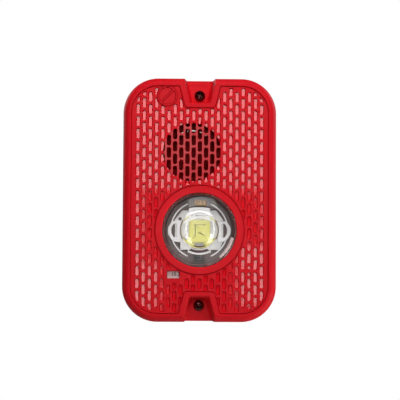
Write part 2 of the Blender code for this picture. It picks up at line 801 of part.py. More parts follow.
def make_selector():
    """The light output selector: a numbered strip behind the window, with an arm out to the back."""
    low = WINDOW_X - STRIP_MARGIN
    high = WINDOW_X + STRIP_MARGIN + SELECTOR_TRAVEL
    half = STRIP_HEIGHT / 2
    mesh = bmesh.new()
    add_box(mesh, low, high, STRIP_OUT, STRIP_OUT + STRIP_THICK, WINDOW_Z - half, WINDOW_Z + half)
    slider = piece("candela_slider", mesh, black_plastic(), 30.0, (ARM_X, STRIP_OUT, WINDOW_Z))
    mesh = bmesh.new()
    knob = BACK_OUT - 3.2
    half_x, half_z = ARM_WIDTH / 2, ARM_HEIGHT / 2
    add_box(mesh, ARM_X - half_x, ARM_X + half_x, knob, STRIP_OUT + 0.6, WINDOW_Z - half_z, WINDOW_Z + half_z)
    join(slider, mesh)
    mesh = bmesh.new()
    add_box(mesh, ARM_X - 0.5, ARM_X + 0.5, knob - 1.0, knob + 1.0, WINDOW_Z - 2.0, WINDOW_Z + 2.0)
    cut(slider, mesh)
    mesh = bmesh.new()
    face = STRIP_OUT + STRIP_THICK + 0.05
    add_box(mesh, low + 0.2, high - 0.2, face, face + 0.2, WINDOW_Z - half + 0.1, WINDOW_Z + half - 0.1)
    piece("candela_label", mesh, material("label_film", WHITE, 0.5))
    mesh = bmesh.new()
    low = ARM_X - SELECTOR_TRAVEL - half_x - 3.2
    high = ARM_X + half_x + 3.2
    bottom, top = WINDOW_Z - SWITCH_HALF, WINDOW_Z + SWITCH_HALF
    add_box(mesh, low, high, SWITCH_BACK_OUT, SWITCH_FRONT_OUT, bottom, top)
    switch = piece("candela_switch", mesh, black_plastic())
    mesh = bmesh.new()
    back, front = SWITCH_BACK_OUT - 1.0, SWITCH_FRONT_OUT + 1.0
    add_box(mesh, low + 2.6, high - 2.6, back, front, WINDOW_Z - half_z - GAP, WINDOW_Z + half_z + GAP)
    cut(switch, mesh)


def make_tone_selector():
    half = TONE_BODY / 2
    back, front = BACK_OUT + BACK_THICK + GAP, BOARD_OUT - GAP
    mesh = bmesh.new()
    add_prism(mesh, rounded_outline(half, half, 0.6, 2, TONE_X, TONE_Z), back, front)
    body = piece("tone_switch", mesh, black_plastic())
    mesh = bmesh.new()
    bore = TONE_ROTOR_RADIUS + GAP
    add_cylinder(mesh, bore, back - 1.0, front - 0.8, 28, TONE_X, TONE_Z)
    cut(body, mesh)
    mesh = bmesh.new()
    radius = TONE_ROTOR_RADIUS
    profile = ((radius - 0.3, back - 1.3), (radius, back - 1.0), (radius, front - 0.8 - GAP))
    add_turned(mesh, profile, 28, TONE_X, TONE_Z)
    rotor = piece("tone_rotor", mesh, material("rotor_plastic", WHITE, 0.5), 30.0, (TONE_X, back, TONE_Z))
    mesh = bmesh.new()
    outline = [(0.5, -2.0), (0.5, 1.2), (1.1, 1.2), (0.0, 2.5), (-1.1, 1.2), (-0.5, 1.2), (-0.5, -2.0)]
    add_prism(mesh, [(TONE_X + x, TONE_Z + z) for x, z in outline], back - 2.0, back - 0.4)
    cut(rotor, mesh)


def add_slot(mesh, x, z, length, width, back, front):
    add_prism(mesh, rounded_outline(length / 2, width / 2, width / 2 - 0.01, 5, x, z), back, front)


def make_wall_plate():
    mesh = bmesh.new()
    half_x, half_z = PLATE_WIDTH / 2, PLATE_HEIGHT / 2
    add_prism(mesh, rounded_outline(half_x, half_z, PLATE_CORNER), 0.0, PLATE_WALL_OUT)
    plate = piece("wall_plate", mesh, red_plastic())
    mesh = bmesh.new()
    inner = rounded_outline(half_x - PLATE_WALL, half_z - PLATE_WALL, PLATE_CORNER - PLATE_WALL)
    add_prism(mesh, inner, PLATE_THICK, PLATE_WALL_OUT + 1.0)
    cut(plate, mesh)
    mesh = bmesh.new()
    for side in (-1, 1):
        add_cylinder(mesh, POST_RADIUS, PLATE_THICK - 0.8, POST_OUT, 24, 0.0, side * SCREW_HEIGHT)
    rib = 1.4
    low, high = WIRE_OPENING_BOTTOM, WIRE_OPENING_TOP
    for side in (-1, 1):
        inside = side * (WIRE_OPENING_HALF + 1.0)
        outside = side * (WIRE_OPENING_HALF + 1.0 + rib)
        left, right = min(inside, outside), max(inside, outside)
        add_box(mesh, left, right, PLATE_THICK - 0.8, PLATE_THICK + 3.0, low, high)
    join(plate, mesh)
    mesh = bmesh.new()
    for side in (-1, 1):
        add_cylinder(mesh, POST_BORE, -1.0, POST_OUT + 1.0, 20, 0.0, side * SCREW_HEIGHT)
    outline = rounded_outline(WIRE_OPENING_HALF, (high - low) / 2, 3.0, 4, 0.0, (high + low) / 2)
    add_prism(mesh, outline, -1.0, PLATE_THICK + 1.0)
    for x in (-TWO_GANG_SPACING / 2, 0.0, TWO_GANG_SPACING / 2):
        for side in (-1, 1):
            z = side * GANG_SPACING / 2
            add_slot(mesh, x, z, FIXING_SLOT_LENGTH, FIXING_SLOT_WIDTH, -1.0, PLATE_THICK + 1.0)
    cut(plate, mesh)


def make_terminal_block():
    """The block that the field wires are clamped in, with a socket under each of the device's blades."""
    back = PLATE_THICK + GAP
    mesh = bmesh.new()
    half = BLOCK_HALF_WIDTH
    middle = (BLOCK_TOP + BLOCK_BOTTOM) / 2
    outline = rounded_outline(half, (BLOCK_TOP - BLOCK_BOTTOM) / 2, 1.0, 2, 0.0, middle)
    add_prism(mesh, outline, back, BLOCK_OUT)
    block = piece("terminal_block", mesh, black_plastic())
    mesh = bmesh.new()
    for number in range(TERMINALS):
        x = terminal_x(number)
        add_cylinder(mesh, 3.3, BLOCK_OUT - 4.0, BLOCK_OUT + 1.0, 20, x, TERMINAL_SCREW_Z)
        add_box(mesh, x - 2.0, x + 2.0, back + 1.6, BLOCK_OUT + 1.0, BLADE_Z - 3.0, BLADE_Z + 3.0)
    cut(block, mesh)
    mesh = bmesh.new()
    for number in range(TERMINALS):
        x = terminal_x(number)
        half = WIRE_HOLE / 2
        low, high = back + 0.6, back + 0.6 + WIRE_HOLE
        add_box(mesh, x - half, x + half, low, high, TERMINAL_SCREW_Z - 4.0, BLOCK_TOP + 1.0)
    cut(block, mesh)
    mesh = bmesh.new()
    for number in range(TERMINALS):
        x = terminal_x(number)
        add_cylinder(mesh, 1.9, back + 1.2, BLOCK_OUT - 3.0, 14, x, TERMINAL_SCREW_Z)
    cut(block, mesh)


def make_terminal_hardware():
    back = PLATE_THICK + GAP
    head = BLOCK_OUT - 3.4
    for number in range(TERMINALS):
        x = terminal_x(number)
        mesh = bmesh.new()
        profile = (
            (1.4, back + 3.4), (1.4, head), (2.9, head + 0.01), (2.9, head + 1.4), (2.4, head + 2.0)
        )
        add_turned(mesh, profile, 18, x, TERMINAL_SCREW_Z)
        origin = (x, head, TERMINAL_SCREW_Z)
        screw = piece(f"terminal_screw_{number + 1}", mesh, steel(), 30.0, origin)
        mesh = bmesh.new()
        low, high = TERMINAL_SCREW_Z - 0.4, TERMINAL_SCREW_Z + 0.4
        add_box(mesh, x - 2.3, x + 2.3, head + 1.2, head + 3.0, low, high)
        cut(screw, mesh)
        mesh = bmesh.new()
        low, high = BLADE_Z - 2.6, BLADE_Z + 2.6
        add_box(mesh, x - 1.7, x + 1.7, back + 1.6 + GAP, BLOCK_OUT - 1.0, low, high)
        clip = piece(f"terminal_clip_{number + 1}", mesh, brass())
        mesh = bmesh.new()
        slit = BLADE_THICK / 2 + GAP
        add_box(mesh, x - slit, x + slit, back + 1.6 + GAP + 0.6, BLOCK_OUT, low - 1.0, high + 1.0)
        cut(clip, mesh)


def make_mounting_screws():
    """The two cross-head screws that hold the device to the posts, each with its captive washer."""
    for name, side in (("top", 1), ("bottom", -1)):
        z = side * SCREW_HEIGHT
        seat = SCOOP_FLOOR_OUT + GAP
        mesh = bmesh.new()
        profile = (
            (SCREW_SHAFT - 0.5, SCREW_TIP_OUT),
            (SCREW_SHAFT, SCREW_TIP_OUT + 0.8),
            (SCREW_SHAFT, seat),
            (SCREW_HEAD, seat + 0.01),
            (SCREW_HEAD, seat + SCREW_HEAD_THICK * 0.45),
            (SCREW_HEAD * 0.8, seat + SCREW_HEAD_THICK * 0.85),
            (SCREW_HEAD * 0.45, seat + SCREW_HEAD_THICK),
        )
        add_turned(mesh, profile, 24, 0.0, z)
        screw = piece(f"mounting_screw_{name}", mesh, steel(), 30.0, (0.0, seat, z))
        cut(screw, cross_recess(0.0, z, seat + SCREW_HEAD_THICK - 1.4, seat + SCREW_HEAD_THICK + 1.0, 1.7))
        mesh = bmesh.new()
        add_cylinder(mesh, WASHER_RADIUS, WASHER_OUT, WASHER_OUT + WASHER_THICK, 24, 0.0, z)
        washer = piece(f"captive_washer_{name}", mesh, steel(), 30.0, (0.0, WASHER_OUT, z))
        mesh = bmesh.new()
        bore = SCREW_SHAFT + GAP
        add_cylinder(mesh, bore, WASHER_OUT - 1.0, WASHER_OUT + 2.0, 20, 0.0, z)
        cut(washer, mesh)


def main():
    clear_scene()
    make_wall_plate()
    make_terminal_block()
    make_terminal_hardware()
    make_front_cover()
    make_back_cover()
    make_case_screws()
    make_lens()
    make_strobe_tray()
    make_led_board()
    make_led_emitter()
    make_led_optic()
    make_led_fittings()
    make_horn_cup()
    make_piezo()
    make_main_board()
    make_board_parts()
    make_contact_blades()
    make_selector()
    make_tone_selector()
    make_mounting_screws()


main()
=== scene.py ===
"""Wall horn strobe: the fine surfaces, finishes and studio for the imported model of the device.

Lengths in this file are in millimetres unless a name says otherwise. +Z is up, +X is to the right of someone who
faces the device, and the wall is the plane Y = 0. The device stands out from the wall along -Y, so "out" in a
name is the distance from the wall.
"""
import json
import math

import bmesh
import bpy
import numpy as np
from mathutils import Matrix, Vector
from mathutils.geometry import delaunay_2d_cdt


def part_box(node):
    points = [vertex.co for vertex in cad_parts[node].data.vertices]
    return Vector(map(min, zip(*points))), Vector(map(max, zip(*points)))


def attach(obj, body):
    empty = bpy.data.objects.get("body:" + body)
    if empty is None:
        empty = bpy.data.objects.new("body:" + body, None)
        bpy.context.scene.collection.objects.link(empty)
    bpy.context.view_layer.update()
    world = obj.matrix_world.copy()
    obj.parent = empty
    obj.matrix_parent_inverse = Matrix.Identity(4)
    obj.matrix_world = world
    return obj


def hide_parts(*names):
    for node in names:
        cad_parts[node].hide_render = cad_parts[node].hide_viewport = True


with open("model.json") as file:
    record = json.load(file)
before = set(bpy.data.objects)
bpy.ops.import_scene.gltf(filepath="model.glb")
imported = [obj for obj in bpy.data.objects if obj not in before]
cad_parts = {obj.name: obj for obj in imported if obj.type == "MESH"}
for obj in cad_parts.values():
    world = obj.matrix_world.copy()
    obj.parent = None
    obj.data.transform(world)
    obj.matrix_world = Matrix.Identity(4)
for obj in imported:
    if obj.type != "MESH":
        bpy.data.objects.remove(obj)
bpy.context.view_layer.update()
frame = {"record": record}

bl_info = {
    "name": "Wall horn strobe",
    "version": (1, 0, 0),
    "blender": (4, 5, 0),
    "location": "View3D > Sidebar > Horn strobe",
    "description": "Builds the visible surfaces of a wall horn strobe and the studio round it",
    "category": "Add Mesh",
}

MM = 0.001

# Cover
BODY_HALF_X = 43.0
BODY_HALF_Z = 68.0
BODY_CORNER = 20.0
BODY_CORNER_STEPS = 24
RIM_OUT = 32.0
SHOULDER_OUT = 25.4
SHOULDER_WIDTH = 4.3
SIDE_DRAFT = 0.45
SIDE_START_OUT = 1.7
SIDE_OUTS = (9.0, 17.0, 23.0)
BACK_EDGE = ((1.0, 0.35), (1.1, 0.13), (1.35, 0.02), (SIDE_START_OUT, 0.0))
WALL = 2.2
WELL_OVERLAP = 0.8
PANEL_BEVEL = 0.18
PANEL_OUT = 31.5
GROOVE_OUT = 30.8
PANEL_EDGE = ((0.34, GROOVE_OUT + 0.01), (0.46, PANEL_OUT - 0.06), (0.56, PANEL_OUT))
PANEL_BACK_OUT = 29.3
PANEL_HALF_X = 37.95
PANEL_HALF_Z = 62.75
PANEL_CORNER = 15.0
NOTCH_TOP_HALF = 11.2
NOTCH_END_HALF = 8.1
NOTCH_END = 50.8

# Scoops: the height of the inner end, and half the width there and at the cover's edge
SCOOP_TOP = 72.0
SCOOP_FLOOR_OUT = 18.0
SCOOP_FLOOR = (55.4, 4.2, 8.6)
SCOOP_MOUTH = (53.0, 5.5, 10.5)
SCOOP_STEPS = ((18.0, -0.7), (18.12, -0.32), (18.4, -0.08), (18.8, 0.0), (31.7, 0.0), (32.3, 0.6))
SCOOP_ZONE_X, SCOOP_ZONE_Z = 12.6, 48.5

# Screws: the bosses' places, and holes as (radius, back, front)
SCREW_HEIGHT = 59.0
SCREW_HOLE = (2.2, 8.4, 20.0)
BOSS_X, BOSS_Z = 33.0, 51.0
BOSS_RADIUS = 3.4
BOSS_BACK_OUT = 10.7
BOSS_HOLE = (1.6, 8.4, 20.4)

# Relief behind the window for the light output strip
RELIEF_LENGTH = 8.0
RELIEF_GAP_X, RELIEF_GAP_Z = 1.2, 0.5
RELIEF_OUTS = (27.9, 29.1)

# Lattice of slots: each step is (distance inside the edge, out)
COLUMN_SPACING = 3.41
ROW_PITCH = 6.845
EVEN_ROW_Z = 1.76
POCKET_HALF = (1.24, 2.98)
POCKET_CORNER = 1.02
FLOOR_OUT = 30.5
POCKET_STEPS = ((0.0, PANEL_OUT), (0.07, 31.46), (0.15, 31.34), (0.37, 30.6), (0.42, FLOOR_OUT))
WALL_BELOW_OUT = 31.3
OPENING_OUT = 31.42
OPENING_INSET = 0.08
DOT_SLOT = (8, -6)
DOT_RADIUS = 1.2
DOT_OFFSET = 1.75
PANEL_MARGIN = 1.0
SCOOP_MARGIN = 0.62
EMBLEM_MARGIN = 0.15
RING_MARGIN = 0.3
CORNER_BLEND = 0.5
LEAST_DEPTH = 0.55
LEAST_HEIGHT = 1.9

# Which of the cover's finishes a face takes
FACE_KIND, FLOOR_KIND, RIB_KIND, WALL_KIND = range(4)

# Features as (x, z, radius), the window as (x, z, width, height)
HORN = (-4.2, 26.1, 16.1)
EMBLEM = (-18.05, 57.0, 5.65)
EMBLEM_STEPS = ((-0.2, PANEL_OUT), (-0.1, 31.1), (0.05, 31.1), (0.14, 31.84), (0.24, 31.88))
WINDOW = (-14.3, -41.4, 6.7, 3.9)
WINDOW_OUT = 31.05
PAD_SHIFT = (-0.25, -0.6)
PAD_MARGIN = (1.45, 2.0)

# Lens and the ring round it: the ring's steps are (radius, out)
LENS_Z = -16.8
LENS_OPENING = 20.5
LENS_SIDES = 128
LENS_FALL = 5.6
RING_RADIUS = 24.75
RING_SIDES = 144
RING_STEPS = ((24.85, PANEL_OUT), (24.76, 30.95), (24.36, 30.9), (24.26, 31.7), (24.1, 31.86), (20.95, 31.88))
RING_EDGE_OUT = 31.6


# ---------------------------------------------------------------- outlines

def rounded_outline(half_x, half_z, corner, steps=6, middle_x=0.0, middle_z=0.0):
    """Points (x, z) round a rectangle with round corners, anticlockwise seen from the front."""
    points = []
    for side_x, side_z, start in ((1, 1, 0.0), (-1, 1, 90.0), (-1, -1, 180.0), (1, -1, 270.0)):
        for step in range(steps + 1):
            angle = math.radians(start + 90.0 * step / steps)
            x = middle_x + side_x * (half_x - corner) + corner * math.cos(angle)
            z = middle_z + side_z * (half_z - corner) + corner * math.sin(angle)
            points.append((x, z))
    return points


def circle_outline(radius, sides=48, middle_x=0.0, middle_z=0.0):
    turns = [2 * math.pi * side / sides for side in range(sides)]
    return [(middle_x + radius * math.cos(turn), middle_z + radius * math.sin(turn)) for turn in turns]


def filleted_outline(corners, steps=8):
    """Points (x, z) of a polygon whose corners (x, z, radius) are rounded."""
    points = []
    count = len(corners)
    for i, (x, z, radius) in enumerate(corners):
        here = np.array((x, z))
        before = np.array(corners[i - 1][:2]) - here
        after = np.array(corners[(i + 1) % count][:2]) - here
        before = before / np.linalg.norm(before)
        after = after / np.linalg.norm(after)
        if radius <= 0.0:
            points.append((x, z))
            continue
        half = math.acos(max(-1.0, min(1.0, float(before @ after)))) / 2
        start = here + before * radius / math.tan(half)
        end = here + after * radius / math.tan(half)
        middle = here + (before + after) / np.linalg.norm(before + after) * radius / math.sin(half)
        first = math.atan2(*(start - middle)[::-1])
        sweep = math.atan2(*(end - middle)[::-1]) - first
        sweep = (sweep + math.pi) % (2 * math.pi) - math.pi
        for step in range(steps + 1):
            angle = first + sweep * step / steps
            points.append((middle[0] + radius * math.cos(angle), middle[1] + radius * math.sin(angle)))
    return points


def moved_in(points, distance):
    """The outline moved towards its inside by a distance."""
    array = np.array(points)
    along = np.roll(array, -1, axis=0) - array
    along /= np.linalg.norm(along, axis=1)[:, None]
    normal = np.stack((-along[:, 1], along[:, 0]), axis=1)
    before = np.roll(normal, 1, axis=0)
    reach = (normal + before) / (1.0 + (normal * before).sum(axis=1))[:, None]
    return [tuple(point) for point in array + reach * distance]


def inside_distance(points, x, z):
    """How far inside the outline each place is; negative outside."""
    array = np.array(points)
    shape = np.shape(x)
    px, pz = np.ravel(x), np.ravel(z)
    best = np.full(px.shape, 1e9)
    odd = np.zeros(px.shape, bool)
    for (ax, az), (bx, bz) in zip(array, np.roll(array, -1, axis=0)):
        dx, dz = bx - ax, bz - az
        t = np.clip(((px - ax) * dx + (pz - az) * dz) / (dx * dx + dz * dz), 0.0, 1.0)
        best = np.minimum(best, np.hypot(px - ax - t * dx, pz - az - t * dz))
        if az != bz:
            crossing = (az > pz) != (bz > pz)
            odd ^= crossing & (px < ax + (pz - az) * dx / dz)
    return np.where(odd, best, -best).reshape(shape)


# ---------------------------------------------------------------- bodies

def add_loft(mesh, sections):
    """Adds one closed body through (out, outline) pairs, back to front, with equal numbers of points."""
    rings = []
    for out, outline in sections:
        rings.append([mesh.verts.new((x * MM, -out * MM, z * MM)) for x, z in outline])
    count = len(rings[0])
    for back, front in zip(rings, rings[1:]):
        for i in range(count):
            j = (i + 1) % count
            mesh.faces.new((back[i], back[j], front[j], front[i]))
    mesh.faces.new(list(reversed(rings[0])))
    mesh.faces.new(rings[-1])


def lofted(*bodies):
    """A bmesh with one closed body for each series of (out, outline) pairs."""
    mesh = bmesh.new()
    for sections in bodies:
        add_loft(mesh, sections)
    return mesh


def add_block(mesh, low_x, high_x, back_out, front_out, low_z, high_z, edge=0.15):
    """A box whose front edges are broken by a small bevel."""
    half_x, half_z = (high_x - low_x) / 2, (high_z - low_z) / 2
    middle_x, middle_z = (high_x + low_x) / 2, (high_z + low_z) / 2
    full = rounded_outline(half_x, half_z, edge, 3, middle_x, middle_z)
    less = rounded_outline(half_x - edge, half_z - edge, edge / 2, 3, middle_x, middle_z)
    add_loft(mesh, ((back_out, less), (back_out + edge, full), (front_out - edge, full), (front_out, less)))


def add_turned(mesh, profile, sides=48, middle_x=0.0, middle_z=0.0):
    """Adds one closed body turned about an axis along Y, from (radius, out) pairs, back to front."""
    add_loft(mesh, [(out, circle_outline(radius, sides, middle_x, middle_z)) for radius, out in profile])


def linked(name, data):
    made = bpy.data.objects.new(name, data)
    bpy.context.scene.collection.objects.link(made)
    return made


def object_from(name, mesh, smooth_degrees=32.0):
    bmesh.ops.recalc_face_normals(mesh, faces=mesh.faces)
    data = bpy.data.meshes.new(name)
    mesh.to_mesh(data)
    mesh.free()
    made = linked(name, data)
    shade(made, smooth_degrees)
    return made


def shade(made, smooth_degrees):
    made.data.shade_smooth()
    made.data.set_sharp_from_angle(angle=math.radians(smooth_degrees))


def combine(target, mesh, operation):
    """Joins the bodies of a bmesh to the object, or cuts them from it."""
    tool = object_from(target.name + "_tool", mesh)
    modifier = target.modifiers.new("combine", "BOOLEAN")
    modifier.object = tool
    modifier.operation = operation
    modifier.solver = "MANIFOLD"
    bpy.context.view_layer.update()
    graph = bpy.context.evaluated_depsgraph_get()
    result = bpy.data.meshes.new_from_object(target.evaluated_get(graph))
    target.modifiers.remove(modifier)
    old, spare = target.data, tool.data
    target.data = result
    bpy.data.objects.remove(tool, do_unlink=True)
    bpy.data.meshes.remove(old)
    bpy.data.meshes.remove(spare)
    shade(target, 32.0)


def join(target, mesh):
    combine(target, mesh, "UNION")


def cut(target, mesh):
    combine(target, mesh, "DIFFERENCE")


def settle(made, surface, body, slot, *nodes):
    """Gives a piece its finish or finishes, the body it moves with and the nodes it stands for. The slot is not used.
    """
    if len(made.data.materials):
        made.data.materials.clear()
    for one in surface if isinstance(surface, tuple) else (surface,):
        made.data.materials.append(one)
    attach(made, body)
    if nodes:
        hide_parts(*nodes)


def dress(surface, *nodes):
    """Gives carried-over nodes a new finish."""
    for node in nodes:
        made = bpy.data.objects[node]
        for slot in made.material_slots:
            slot.link = "OBJECT"
            slot.material = surface
        if not made.material_slots:
            made.data.materials.append(surface)


def numbered(name, count):
    return [f"{name}_{number}" for number in range(1, count + 1)]


class Extent:
    """A node's box at rest in millimetres. Its back and front are distances from the wall."""

    def __init__(self, node):
        low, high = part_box(node)
        self.low_x, self.high_x = low[0] / MM, high[0] / MM
        self.back, self.front = -high[1] / MM, -low[1] / MM
        self.low_z, self.high_z = low[2] / MM, high[2] / MM
        self.half_x, self.half_z = (high[0] - low[0]) / 2 / MM, (high[2] - low[2]) / 2 / MM
        self.middle_x, self.middle_z = (low[0] + high[0]) / 2 / MM, (low[2] + high[2]) / 2 / MM


# ---------------------------------------------------------------- height sheet

class Sheet:
    """Points in the panel's plane with their heights, filled with triangles between its outlines."""

    def __init__(self):
        self.places = []
        self.outs = []
        self.edges = []
        self.loops = []
        self.owner = []
        self.known = []

    def add(self, points, outs, closed=True, bounds=None, known=None):
        """Adds an outline. An "outer" one bounds the sheet, and an "inner" one goes round a hole in it."""
        first = len(self.places)
        count = len(points)
        if not hasattr(outs, "__len__"):
            outs = [outs] * count
        self.places += [tuple(point) for point in points]
        self.outs += list(outs)
        self.known += list(known) if known else [None] * count
        self.edges += [(first + i, first + i + 1) for i in range(count - 1)]
        if closed:
            self.edges.append((first + count - 1, first))
        self.loops.append((first, count, bounds))
        self.owner += [len(self.loops) - 1] * count
        return len(self.loops) - 1

    def triangles(self):
        places = [Vector(place) for place in self.places]
        found = delaunay_2d_cdt(places, self.edges, [], 0, 1e-5, True)
        points, faces, origins = found[0], found[2], found[3]
        for index, origin in enumerate(origins):
            if not origin:
                point = np.array(points[index])
                near = int(np.argmin(((np.array(self.places) - point) ** 2).sum(axis=1)))
                self.places.append(tuple(point))
                self.outs.append(self.outs[near])
                self.known.append(None)
                self.owner.append(-1)
                origin.append(len(self.places) - 1)
        kept = []
        for face in faces:
            corners = [origins[index][0] for index in face]
            owners = {self.owner[corner] for corner in corners}
            if len(owners) == 1 and -1 not in owners:
                first, count, bounds = self.loops[owners.pop()]
                if bounds:
                    middle = np.mean([self.places[corner] for corner in corners], axis=0)
                    outline = self.places[first:first + count]
                    within = inside_distance(outline, np.array(middle[0]), np.array(middle[1])) > 0
                    if bool(within) != (bounds == "outer"):
                        continue
            (ax, az), (bx, bz), (cx, cz) = (self.places[corner] for corner in corners)
            area = (bx - ax) * (cz - az) - (cx - ax) * (bz - az)
            if abs(area) < 1e-9:
                continue
            kept.append(corners if area > 0 else corners[::-1])
        return kept, origins


def followed(follow):
    """The closed loops in a table that gives what comes after each item."""
    loops = []
    while follow:
        start, item = follow.popitem()
        loop = [start]
        while item != start:
            loop.append(item)
            item = follow.pop(item)
        loops.append(loop)
    return loops


def contour_loops(values, xs, zs, level):
    """Closed loops, with the larger values on their left, where values sampled on a grid equal a level."""
    above = values > level
    follow, places = {}, {}
    mixed = (above[:-1, :-1].astype(int) + above[1:, :-1] + above[:-1, 1:] + above[1:, 1:]) % 4 != 0
    for i, j in zip(*np.nonzero(mixed)):
        corners = ((i, j), (i + 1, j), (i + 1, j + 1), (i, j + 1))
        exits, entries = [], []
        for side in range(4):
            a, b = corners[side], corners[(side + 1) % 4]
            if above[a] == above[b]:
                continue
            key = (a, b) if a < b else (b, a)
            share = (level - values[a]) / (values[b] - values[a])
            places[key] = (
                xs[a[0]] + share * (xs[b[0]] - xs[a[0]]),
                zs[a[1]] + share * (zs[b[1]] - zs[a[1]]),
            )
            (exits if above[a] else entries).append((side, key))
        for side, key in exits:
            back = min(entries, key=lambda entry: (side - entry[0]) % 4)
            follow[key] = back[1]
    return [[places[key] for key in loop] for loop in followed(follow)]


def thinned(points, slack=0.008):
    """A closed outline with the points left out that lie within the slack of a straight line."""
    array = np.array(points)
    count = len(array)
    if count < 8:
        return [tuple(point) for point in array]
    far = int(np.argmax(((array - array[0]) ** 2).sum(axis=1)))
    keep = {0, far}
    work = [(0, far), (far, count)]
    closed = np.vstack((array, array[:1]))
    while work:
        low, high = work.pop()
        if high - low < 2:
            continue
        a, b = closed[low], closed[high]
        span = b - a
        length = math.hypot(*span) or 1e-9
        middle = closed[low + 1:high]
        off = np.abs((middle[:, 0] - a[0]) * span[1] - (middle[:, 1] - a[1]) * span[0]) / length
        worst = int(np.argmax(off))
        if off[worst] > slack:
            keep.add(low + 1 + worst)
            work += [(low, low + 1 + worst), (low + 1 + worst, high)]
    return [tuple(array[index]) for index in sorted(keep)]


# ---------------------------------------------------------------- front cover

def body_outline(inset):
    return rounded_outline(BODY_HALF_X - inset, BODY_HALF_Z - inset, BODY_CORNER - inset, BODY_CORNER_STEPS)


def cover_skin():
    """(out, outline) of the cover's outer skin: back edge, drafted sides, round shoulder and flat rim."""
    sections = [(out, body_outline(inset)) for out, inset in BACK_EDGE]
    for out in SIDE_OUTS:
        share = (out - SIDE_START_OUT) / (SHOULDER_OUT - SIDE_START_OUT)
        sections.append((out, body_outline(SIDE_DRAFT * share)))
    for step in range(13):
        angle = math.radians(90.0 * step / 12)
        inset = SIDE_DRAFT + SHOULDER_WIDTH * (1 - math.cos(angle))
        out = SHOULDER_OUT + (RIM_OUT - SHOULDER_OUT) * math.sin(angle)
        sections.append((out, body_outline(inset)))
    return sections


def cover_cavity():
    """(out, outline) of the hollow behind the cover's face."""
    inner = WALL + SIDE_DRAFT
    steps = ((-1.0, WALL), (SHOULDER_OUT - 2.0, inner), (SHOULDER_OUT + 2.0, inner + 1.0),
             (PANEL_BACK_OUT, inner + 3.6))
    return [(out, body_outline(inset)) for out, inset in steps]


def panel_outline():
    """The panel's edge, which goes round the two screw scoops."""
    corners = []
    for side in (1, -1):
        half_z, end = side * PANEL_HALF_Z, side * NOTCH_END
        corners.append((side * PANEL_HALF_X, half_z, PANEL_CORNER))
        corners.append((side * NOTCH_TOP_HALF, half_z, 1.2))
        corners.append((side * NOTCH_END_HALF, end, 1.9))
        corners.append((-side * NOTCH_END_HALF, end, 1.9))
        corners.append((-side * NOTCH_TOP_HALF, half_z, 1.2))
        corners.append((-side * PANEL_HALF_X, half_z, PANEL_CORNER))
    return filleted_outline(corners, 10)


def scoop_outline(side, shape, grow=0.0):
    """A wedge that widens towards the top or bottom edge, with its two inner corners rounded."""
    end, end_half, top_half = shape
    corners = [
        (top_half + grow, SCOOP_TOP, 0.0),
        (-top_half - grow, SCOOP_TOP, 0.0),
        (-end_half - grow, end - grow, 1.8),
        (end_half + grow, end - grow, 1.8),
    ]
    points = filleted_outline(corners, 6)
    if side < 0:
        return [(x, -z) for x, z in reversed(points)]
    return points


def scoop_between(share):
    return tuple(low + (high - low) * share for low, high in zip(SCOOP_FLOOR, SCOOP_MOUTH))


def add_scoop(mesh, side):
    """The recess of a mounting screw: a filleted floor, leaning walls and a broken edge at the rim."""
    sections = []
    for out, grow in SCOOP_STEPS:
        share = min((out - SCOOP_FLOOR_OUT) / (RIM_OUT - SCOOP_FLOOR_OUT), 1.0)
        sections.append((out, scoop_outline(side, scoop_between(share), grow)))
    add_loft(mesh, sections)


def scoop_well(side):
    """The walls inside the cover that stand round a scoop."""
    limit = BODY_HALF_Z - WALL + 0.6
    low = [(x, math.copysign(min(abs(z), limit), side)) for x, z in scoop_outline(side, SCOOP_FLOOR, WALL)]
    high = [(x, math.copysign(min(abs(z), limit - 3), side)) for x, z in scoop_outline(side, SCOOP_MOUTH, WALL)]
    return lofted(((SCOOP_FLOOR_OUT - WALL, low), (PANEL_BACK_OUT + WELL_OVERLAP, high)))


def selector_travel():
    """How far the light output selector slides."""
    joints = frame["record"]["behaviour"]["joints"]
    return next(joint for joint in joints if joint["name"] == "candela_slide")["range_m"][1] / MM


def add_hole(mesh, hole, x, z, sides):
    radius, back, front = hole
    add_turned(mesh, ((radius, back), (radius, front)), sides, x, z)


def cover_shell(panel):
    """The cover without its panel: skin, cavity, wells, bosses, scoops and the recess that the panel fills."""
    shell = object_from("front_cover_shell", lofted(cover_skin()))
    cut(shell, lofted(cover_cavity()))
    join(shell, scoop_well(1))
    join(shell, scoop_well(-1))
    boss_places = [(side_x * BOSS_X, side_z * BOSS_Z) for side_x in (-1, 1) for side_z in (-1, 1)]
    mesh = bmesh.new()
    for x, z in boss_places:
        add_hole(mesh, (BOSS_RADIUS, BOSS_BACK_OUT, PANEL_BACK_OUT + WELL_OVERLAP), x, z, 20)
    join(shell, mesh)
    mesh = bmesh.new()
    add_scoop(mesh, 1)
    add_scoop(mesh, -1)
    add_loft(mesh, ((GROOVE_OUT, panel), (RIM_OUT - PANEL_BEVEL, panel), (RIM_OUT, moved_in(panel, -PANEL_BEVEL)),
                    (RIM_OUT + 0.4, moved_in(panel, -0.6))))
    cut(shell, mesh)
    mesh = bmesh.new()
    for side in (-1, 1):
        add_hole(mesh, SCREW_HOLE, 0.0, side * SCREW_HEIGHT, 24)
    for x, z in boss_places:
        add_hole(mesh, BOSS_HOLE, x, z, 16)
    slider = Extent("candela_slider")
    low_x = slider.low_x - selector_travel() - RELIEF_GAP_X
    add_block(mesh, low_x, low_x + RELIEF_LENGTH, *RELIEF_OUTS,
              slider.low_z - RELIEF_GAP_Z, slider.high_z + RELIEF_GAP_Z, 0.1)
    cut(shell, mesh)
    return shell


